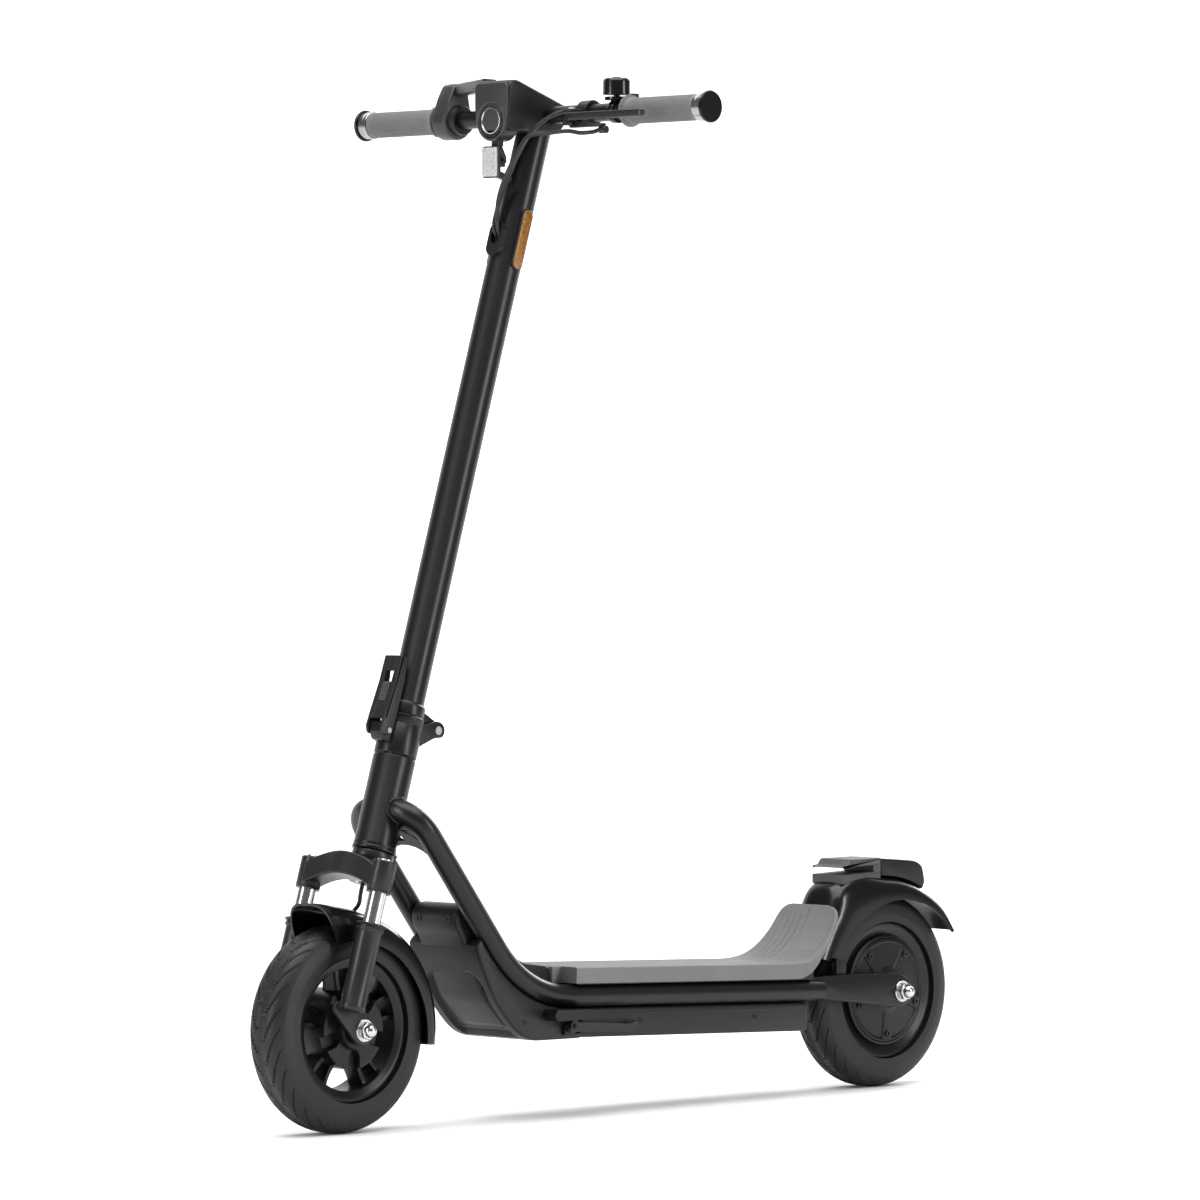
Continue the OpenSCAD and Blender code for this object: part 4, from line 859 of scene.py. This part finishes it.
def tail():
    a = np.radians(np.linspace(119, 87.2, 14))
    crown = np.interp(np.degrees(a), [49, 62, 90, 123, 136], [165, 164, 146, 146, 148]) + 0.7
    floor = np.stack([-470 + crown * np.cos(a), 125 + crown * np.sin(a)], 1)
    roof = rounded([[-462.2, 285], [-462.2, 295.4], [-500, 292.6], [-528, 290], [-541, 283], [-546, 262],
        [-542.5, 256]], [1, 3, 6, 8, 6, 5, 1], 4)[4:-5]
    outline = np.vstack([roof, floor])
    makePiece("tailBox", [plate(outline, -27, 27, 2)], onGround, "frame", "plasticBlack", "tail_box")
    upper = [[-388, 285.2], [-398, 289], [-404, 296], [-461.6, 296.5], [-461.6, 287.2], [-448, 286.8]]
    lower = [[-388, 264], [-388, 276.5], [-448, 278.6], [-461.6, 278.6], [-461.6, 263]]
    post = [[-461.6, 276], [-461.6, 290], [-448, 290], [-448, 276]]
    shells = [plate(rounded(o, 1.6, 3), -27, 27, 2) for o in (upper, lower, post)]
    makePiece("tailHook", shells, onGround, "frame", "hookGrey", "tail_hook")
    lens = plate(rounded([[-541.9, 282.2], [-546.4, 281], [-549.2, 264], [-546.4, 262]], 1.2, 3), -22, 22,
        1.4)
    makePiece("tailLight", [lens], onGround, "frame", "redLens", "tail_light")


tail()

fold = {"z": 519.1, "x": -48.0, "pinZ": 515.1, "latchX": 31.5, "latchZ": 493.1}


def stemBase():
    z, x, p = fold["z"], fold["x"], fold["pinZ"]
    body = [[14.4, 469.1], [25.2, 469.1], [26, 470], [26, 506.5], [25.3, 507.4], [25.3, 508.6], [26, 509.5],
        [26, z - 1.2], [25, z - 0.2], [14.4, z - 0.2]]
    ear = rounded([[x - 6, p + 9.5], [x + 4, p + 11], [-20, z - 6], [-20, z - 34], [x + 4, p - 11],
        [x - 10, p - 6], [x - 11, p + 3]], 5, 5)
    ears = bothSides([plate(ear, 6.5, 14.5, 1.5)])
    knuckle = plate(rounded([[18, z - 40], [34, z - 38], [40, z - 30], [41, z - 16], [18, z - 14]], 3, 4),
        -11, 11, 1.5)
    makePiece("stemBase", [revolve(body, 96, True), knuckle] + ears, onSteer, "fork_upper", "frameBlack",
        "stem_base")
    pins = []
    for at, radius, end in (((x, 0, p), 4.0, 14.6), ((fold["latchX"], 0, fold["latchZ"]), 2.5, 15.6)):
        pins.append(moved(revolveY([[0, -end], [radius * 1.3, -end], [radius * 1.3, 0.8 - end],
            [radius, -end + 1], [radius, end - 1], [radius * 1.3, end - 0.8], [radius * 1.3, end],
            [0, end]], 32), at))
    makePiece("foldPins", pins, onSteer, "fork_upper", "steel", "fold_pin")


stemBase()


def stemTube():
    z = fold["z"]
    barZ = 1283.4  # the handlebar's place along the steering axis
    tubeProfile = [[18, z + 0.2], [23.2, z + 0.2], [24, z + 1], [24, z + 13], [23.4, z + 14.2],
        [21.6, z + 15.4], [21, z + 17], [21, barZ - 14], [18, barZ - 14]]
    tongue = plate(rounded([[-58, 516], [-56, 523], [-48, 526], [-20, z + 14], [-20, z + 0.3],
        [-32, z + 0.3], [-42, 508], [-50, 505.4], [-56, 509]], 3, 4), -6, 6, 1)
    lug = block((20, -5, z + 2), (27.5, 5, z + 12), 1)
    clamp = moved(revolveY([[11.05, -30], [14.4, -30], [15, -29.4], [15, 29.4], [14.4, 30], [11.05, 30]],
        64, True), (5.7, 0, barZ))
    makePiece("stemTube", [revolve(tubeProfile, 96, True), tongue, lug, clamp], onSteer, "stem",
        "frameBlack", "stem_tube")
    port = barZ - 164
    t = turns(40)
    oval = np.stack([9 * np.cos(t), np.where(np.sin(t) > 0, 30, -30) + 9 * np.sin(t) + port + 6], 1)
    seats = bothSides([plate(oval, 19.2, 23.0, 1.0)])
    lenses = bothSides([plate(inset(oval, 1.6), 22.4, 23.9, 0.8)])
    makePiece("reflectorSeats", seats, onSteer, "stem", "plasticBlack")
    makePiece("sideReflectors", lenses, onSteer, "stem", "amber", "side_reflectors")


stemTube()


def latch():
    x, p, z = fold["latchX"], fold["latchZ"], fold["z"]
    cheek = rounded([[x - 6, p], [x - 4, p - 5], [x, p - 6], [x + 9, p - 6], [x + 13, p + 2],
        [x + 7, z + 34], [x + 6, z + 66], [x - 3, z + 66], [x - 7, z + 40], [x - 7, z - 5]], 2.5, 4)
    cheeks = bothSides([plate(cheek, 11.4, 15, 1.0)])
    face = [[x + 12.2, p + 12], [x + 7.2, z + 34], [x + 6.2, z + 66], [x + 1.4, z + 66.6], [x + 3, z + 34],
        [x + 8, p + 12]]
    rails = bothSides([plate(rounded(face, 1.2, 3), 6.5, 15, 1.0)])
    low = [[x + 12.2, p + 12], [x + 9.9, z + 8], [x + 5.7, z + 8], [x + 8, p + 12]]
    high = [[x + 6.8, z + 47], [x + 6.2, z + 66], [x + 1.4, z + 66.6], [x + 2.4, z + 47]]
    bridges = [plate(rounded(o, 0.6, 3), -6.6, 6.6, 0.2) for o in (low, high)]
    makePiece("latchLever", cheeks + rails + bridges, onSteer, "latch", "forkGrey", "latch_lever")
    slider = plate(rounded([[x, z + 8.4], [x + 10.3, z + 8.4], [x + 7.9, z + 33], [x, z + 33]], 1.5, 4),
        -6.1, 6.1, 1)
    ribs = []
    for k in range(5):
        h = z + 12 + 4.2 * k
        ribs.append(block((x + 9.0 - 0.1 * k, -5, h), (x + 10.7 - 0.4 * k, 5, h + 1.4), 0.4, 0.4))
    makePiece("latchSlider", [slider, block((x - 3, -9, z + 8.4), (x + 1, 9, z + 33))] + ribs, onSteer,
        "slider", "hookGrey", "latch_slider")


latch()
print("stem made")

bar = {"half": 303.5, "gripIn": 165.0, "gripOut": 285.0}


# A grip: a cylinder with shallow rings of diamond ribs between its collars
def gripShells():
    b = bar
    y = np.r_[b["gripIn"], b["gripIn"] + 0.6, b["gripIn"] + 4.4, b["gripIn"] + 5,
        np.linspace(172, 283, 150), b["gripOut"] - 0.6, b["gripOut"]]
    base = np.interp(y, [165, 165.6, 169.4, 170.2, 172, 283, 284.4, 285], [19, 19.5, 19.5, 16.6, 15.6, 15.6,
        16, 15.4])
    a = turns(144)[:, None]
    wave = np.sin(a * 18 + y[None] * 0.9) * np.sin(a * 18 - y[None] * 0.9)
    rib = 0.45 * np.clip(wave * 3, -1, 1) * smoothStep(174, 178, y) * (1 - smoothStep(276, 280, y))
    r = base[None] + rib
    outer = np.stack([r * np.cos(a), y[None] + 0 * a, r * np.sin(a)], -1)
    bore = np.array([b["gripOut"], b["gripIn"]])
    inner = np.stack([11.1 * np.cos(a) + 0 * bore, bore + 0 * a, 11.1 * np.sin(a) + 0 * bore], -1)
    grip = shell(np.concatenate([outer, inner], 1), True, True, False)
    h = b["half"]
    cap = revolveY([[11.1, h - 4], [18.8, h - 4], [19.5, h - 3.1], [19.5, h - 1.1], [18.6, h - 0.2],
        [15, h], [0, h], [0, h - 2.9], [11.1, h - 2.9]], 72, True)
    return grip, cap


def handlebar():
    b = bar
    end = b["half"] - 3
    tubeShell = revolveY([[9, -end], [11, -end], [11, end], [9, end]], 64, True)
    makePiece("handlebar", [tubeShell], onBar, "stem", "frameBlack", "handlebar")
    grip, cap = gripShells()
    makePiece("gripLeft", [grip], onBar, "stem", "gripRubber", "grip_left", crease=60)
    makePiece("gripRight", [mirrored(grip)], onBar, "stem", "gripRubber", "grip_right", crease=60)
    makePiece("gripCaps", bothSides([cap]), onBar, "stem", "glossBlack")
    ring = revolveY([[11.1, 285.3], [16.4, 285.3], [17, 285.9], [17, 290], [16.6, 290.4], [16.6, 291],
        [17, 291.4], [17, 298.6], [16.4, 299.2], [11.1, 299.2]], 72, True)
    makePiece("gripRings", bothSides([ring]), onBar, "stem", "silver", "grip_rings")


handlebar()

pod = {"half": 31.0, "lampZ": -8.0, "face": 72.0}


# The display head: its side outline carried across, and drawn in towards the lamp near the foot of its
# face
def podShell():
    outline = rounded([[-29, 12], [57, 42], [67, 41], [72, 33], [72.4, -16], [66, -21], [40, -21],
        [12, -22], [-14, -22], [-24, -12]], [2, 14, 5, 5, 4, 4, 8, 6, 4, 3], 7)
    s = plate(outline, -pod["half"], pod["half"], 4.0, 7)
    g = s["grid"]
    draw = 5.0 * smoothStep(4, -22, g[..., 2]) * smoothStep(30, 60, g[..., 0])
    g[..., 1] *= 1 - draw / pod["half"]
    return s


def displayHead():
    makePiece("displayHead", [podShell()], onBar, "stem", "plasticBlack", "pod_housing")
    face = [[-24, 38], [24, 38], [28.5, 34], [28.5, 6], [25, -16], [18, -20], [-18, -20], [-25, -16],
        [-28.5, 6], [-28.5, 34]]
    mask = plateX(rounded(face, 5, 5), pod["face"] - 2, pod["face"] + 0.9, 0.8)
    z = pod["lampZ"]
    brow = plateX(rounded([[-27, 30.5], [27, 30.5], [25, 38.5], [-25, 38.5]], 2, 4), 67, 72.6, 1.5)
    makePiece("podFace", [mask, brow], onBar, "stem", "podGrey")
    barrel = revolveX([[0, 46], [22, 46], [25, 49], [25, 72], [24.4, 73.4], [23, 74], [21.8, 73.6],
        [21, 72.4], [20.6, 71.2], [20.2, 71.2], [20, 73.6], [19.4, 74.4], [18.4, 74.4], [17.8, 73],
        [17.4, 66], [0, 66]], 96)
    makePiece("lampBarrel", [moved(barrel, (0, 0, z))], onBar, "stem", "podGrey")
    bezel = revolveX([[17.2, 66.2], [17.2, 72.6], [16.4, 74.2], [15.4, 74.4], [14.6, 73], [13.6, 68.5],
        [12, 67], [8, 66.6], [0, 66.4], [0, 66.2]], 72)
    makePiece("lampRing", [moved(bezel, (0, 0, z))], onBar, "stem", "chrome")
    dome = [[0, 71.4]] + [[8.6 * math.sin(t), 67.4 + 4 * math.cos(t)] for t in np.linspace(0.1, 1.57,
        10)] + [[0, 67]]
    makePiece("lampLens", [moved(revolveX(dome, 64), (0, 0, z))], onBar, "stem", "lamp", "headlight")


displayHead()


def frontReflector():
    edge = rounded([[-14.5, -78], [14.5, -78], [14.5, -39], [-14.5, -39]], 4.5, 5)
    foot = block((52, -4, -64), (71.5, 4, -56), 1, 2)
    neck = block((58, -7, -39.5), (66, 7, -24), 1, 2)
    stay = plate(rounded([[54, -56], [66, -39], [66, -34], [60, -34], [50, -52], [50, -60]], 2, 3), -4, 4,
        0.8)
    makePiece("reflectorBracket", [plateX(edge, 70, 74.6, 1.2), foot, stay, neck], onBar, "stem", "podGrey")
    makePiece("frontReflector", [plateX(inset(edge, 1.8), 73.6, 76.8, 1.0)], onBar, "stem", "reflector",
        "front_reflector")
    arm = block((21.1, -4, 1191.4), (49, 4, 1199.4), 1, 2)
    makePiece("reflectorArm", [arm], onSteer, "stem", "podGrey")


frontReflector()


def throttle():
    t = np.radians(np.linspace(180, 360, 25))
    low = np.stack([24 * np.cos(t), 24 * np.sin(t)], 1)
    high = rounded([[24, 2], [15, 27], [5, 44], [-2, 46.5], [-10, 46.5], [-16, 42], [-24, 2]],
        [6, 8, 4, 3, 3, 5, 6], 5)
    outline = np.vstack([low, high[3:-3]])
    band = plate(outline, -157, -133, 2.5)
    arm = plateZ(rounded([[-13, -136], [4, -136], [57, -31.1], [33, -31.1]], [2, 6, 1, 1], 4), 31, 45.5, 2)
    step = plateZ(rounded([[2, -132], [8, -126], [58, -31.1], [40, -31.1]], [1, 3, 1, 1], 3), 34.5, 38, 1)
    makePiece("throttleBody", [band, arm, step], onBar, "stem", "podGrey", "throttle_housing")
    hub = revolveY([[11.1, -132.9], [18.4, -132.9], [18.9, -132.2], [18, -123.8], [17, -123], [11.1, -123]],
        64, True)
    thumb = rounded([[-8, -12], [-13, 4], [-30, 9], [-44, 7], [-49, 1], [-44, -3.5], [-34, 0], [-18, -6]],
        3, 4)
    makePiece("thumbLever", [hub, plate(thumb, -132.4, -123, 1.8)], onBar, "thumb", "plasticBlack",
        "throttle_lever")


throttle()


def brakeSide():
    clampRing = revolveY([[11.1, 88], [15.4, 88], [16, 88.6], [16, 104.4], [15.4, 105], [11.1, 105]], 64,
        True)
    jaws = [block((8, 88, -16), (38, 104, -11), 1.2, 2), block((8, 88, -1), (38, 104, 4), 1.2, 2),
        block((8, 88, -12), (20, 104, 0), 0.6), block((24, 96, -19), (34, 150, -15), 1, 1.5)]
    barrel = moved(revolveY([[0, 144], [3.4, 144], [4.5, 145], [4.5, 147], [4, 147.4], [4, 148.2],
        [4.5, 148.6], [4.5, 155.2], [3.6, 156], [0, 156]], 32), (29, 0, -23))
    makePiece("brakeClamp", [clampRing, barrel] + jaws, onBar, "stem", "forkGrey", "brake_clamp")
    pin = revolve([[0, -16.5], [3.4, -16.5], [3.4, -15.9], [2.5, -15.6], [2.5, 3.9], [4, 4.1], [4.4, 4.8],
        [3.6, 5.6], [0, 5.8]], 32)
    makePiece("leverPin", [moved(pin, (30, 96, 0))], onBar, "stem", "steel")
    blade = rounded([[24, 98], [26, 91], [36, 89.5], [47, 103], [50.4, 118], [49.6, 180], [50, 231],
        [47.5, 236], [44, 235], [43.2, 214], [43.4, 150], [42, 116], [30, 104]],
        [3, 3, 5, 8, 10, 20, 3, 2, 2, 4, 20, 8, 5], 6)
    makePiece("brakeLever", [plateZ(blade, -10.6, -1.4, 2.0, 5)], onBar, "brake_grip", "forkGrey",
        "brake_lever")


brakeSide()


def bell():
    at = (0, 144, 0)
    band = moved(revolveY([[11.1, -5], [13.6, -5], [14, -4.4], [14, 4.4], [13.6, 5], [11.1, 5]], 48, True),
        at)
    foot = block((-6, 139, 9), (6, 149, 15), 1)
    base = moved(revolve([[0, 14], [14, 14], [15, 14.6], [15, 17.4], [14.2, 18], [4, 18], [4, 21], [0, 21]],
        64), at)
    ear = block((-28, 140, 14), (-8, 148, 17), 0.8)
    cup = moved(revolve([[0, 41.9], [5, 42], [5.4, 41.2], [13.6, 40.8], [16, 39.4], [17, 37], [17, 23],
        [17.2, 22.4], [17, 20.6], [16, 20.2], [0, 20.2]], 96), at)
    makePiece("bell", [band, foot, base, ear, cup], onBar, "stem", "glossBlack", "bell")
    boss = moved(revolve([[1.55, 17.4], [3.8, 17.4], [4, 17.8], [4, 23], [3.6, 23.4], [1.55, 23.4]], 32,
        True), (-24, 144, 0))
    tab = block((-36, 141, 17.4), (-26.5, 147, 23.4), 1.2, 2)
    makePiece("bellThumb", [boss, tab], onBar, "bell_thumb", "plasticBlack", "bell_lever")


bell()

wireRoute = [[164, 85.5, 1230], [169, 76, 1229], [174, 66, 1225], [179, 54, 1218], [184, 44, 1209],
    [190, 38, 1197], [196, 34.5, 1184], [200, 29, 1171], [200, 20, 1156], [200, 10, 1140], [200, 1, 1122],
    [202, -3, 1106], [204.6, -3.2, 1095], [203.3, -3.2, 1085], [198, -3.2, 1078], [192, -3.2, 1073]]
brakeRoute = [[169, 142.2, 1205], [172, 137, 1203], [176, 130, 1202], [178, 118, 1202], [180, 103, 1204.5],
    [182, 88, 1204.5], [185, 69, 1203], [189, 55, 1202.5], [195, 44.5, 1199], [201, 38.5, 1187],
    [205.5, 33, 1173], [206, 22, 1157], [206, 12, 1140], [206.5, 6, 1123], [206, 3.6, 1106],
    [205.5, 3.2, 1095], [203.3, 3.2, 1085], [198, 3.2, 1078], [192, 3.2, 1073]]
cords = [tube(smoothPath(route), 2.6, 16, (0, 0, 1)) for route in (wireRoute, brakeRoute)]
makePiece("barCables", cords, onGround, "stem", "cord", "bar_cables", crease=60)
lowerRoute = [[6, 0, 420], [6, 0, 380], [6, 0, 340], [6, 0, 300], [5, 0, 284], [0, -12, 276],
    [-8, -34, 267], [-16, -46, 246], [-22, -47, 215], [-24, -44, 182]]
makePiece("brakeCable", [tube(smoothPath(lowerRoute), 2.5, 16, (1, 0, 0))], onSteer, "fork_lower", "cord",
    "brake_cable", crease=60)
print("handlebar made")

# The finishes of the frame's own pieces that are seen as they are
carried = {
    "frameBlack": ("frame_gusset", "deck_plate", "stand_bracket"),
    "battery": ("battery_pack",),
    "silver": ("controller", "brake_plate"),
    "steel": ("headset_bearings", "steerer_tube", "brake_arm", "front_bearings", "motor_magnets",
        "rear_bearings"),
    "copper": ("motor_stator",), "display": ("display_glass",),
    "plasticBlack": ("cable_port",), "forkGrey": ("kickstand",),
}
for finish, nodeNames in carried.items():
    for nodeName in nodeNames:
        data = frame["nodes"][nodeName].data
        data.materials.clear()
        data.materials.append(finishes[finish])


stage = {"glowFrom": 1.6, "glowTo": 6.5, "glow": 0.72, "room": 0.16, "backdrop": 0.86,
    "look": "Medium High Contrast"}


# A floor that sweeps up behind and glows with distance, a dim white room and four soft lights
def makeStage():
    floorMaterial = bpy.data.materials.new("floor")
    floorMaterial.use_nodes = True
    tree = floorMaterial.node_tree
    shader = tree.nodes["Principled BSDF"]
    shader.inputs["Base Color"].default_value = grey(0.9)
    shader.inputs["Roughness"].default_value = 0.7
    shader.inputs["Emission Strength"].default_value = 1
    point = Field(tree, None).node("ShaderNodeTexCoord", out=3)
    away = point.node("ShaderNodeVectorMath", {"operation": "LENGTH"}, {0: point}, 1)
    glow = point.node("ShaderNodeMapRange", None, {"Value": away, "From Min": stage["glowFrom"],
        "From Max": stage["glowTo"], "To Min": 0.0, "To Max": stage["glow"]})
    glow = point.node("ShaderNodeCombineColor", None, {"Red": glow, "Green": glow, "Blue": glow})
    tree.links.new(glow.socket, shader.inputs["Emission Color"])
    mesh = bpy.data.meshes.new("floor")
    t = np.linspace(0, np.pi / 2, 25)
    away = np.r_[-12, -4, 4 + 6 * np.sin(t), 10]
    high = np.r_[0, 0, 6 * (1 - np.cos(t)), 14]
    across = np.linspace(-16, 16, 5)[None]
    toward = np.array(view["back"][:2]) / math.hypot(*view["back"][:2])
    x = -toward[0] * away[:, None] - toward[1] * across
    y = -toward[1] * away[:, None] + toward[0] * across
    corners = np.stack([x, y, high[:, None] + 0 * across], -1).reshape(-1, 3)
    i, j = np.meshgrid(np.arange(len(away) - 1), np.arange(4), indexing="ij")
    k = (i * 5 + j).reshape(-1, 1)
    mesh.from_pydata(corners.tolist(), [], (k + [[0, 5, 6, 1]]).tolist())
    mesh.shade_smooth()
    mesh.materials.append(floorMaterial)
    floor = addObject("floor", mesh)
    world = bpy.data.worlds.new("studio")
    world.use_nodes = True
    background = world.node_tree.nodes["Background"]
    seen = Field(world.node_tree, None).node("ShaderNodeLightPath")
    strength = stage["room"] + seen * stage["backdrop"]
    world.node_tree.links.new(strength.socket, background.inputs["Strength"])
    background.inputs["Color"].default_value = (1, 1, 1, 1)
    bpy.context.scene.world = world
    lights = [("over", (0.6, 0.4, 4.5), 5.0, 5.0, 290), ("side", (-1.2, 4.4, 1.8), 0.7, 2.8, 85),
        ("front", (4.6, -0.9, 1.6), 0.6, 2.8, 75), ("rim", (-3.6, -1.0, 2.4), 1.2, 2.4, 60)]
    for name, place, wide, high, power in lights:
        data = bpy.data.lights.new(name, "AREA")
        data.shape = "RECTANGLE"
        data.size, data.size_y, data.energy = wide, high, power
        light = addObject(name, data)
        light.location = place
        light.rotation_euler = (Vector((0.1, 0, 0.6)) - Vector(place)).to_track_quat("-Z", "Y").to_euler()


makeStage()
bpy.context.scene.view_settings.view_transform = "Standard"
bpy.context.scene.view_settings.look = stage["look"]
print("scene made")
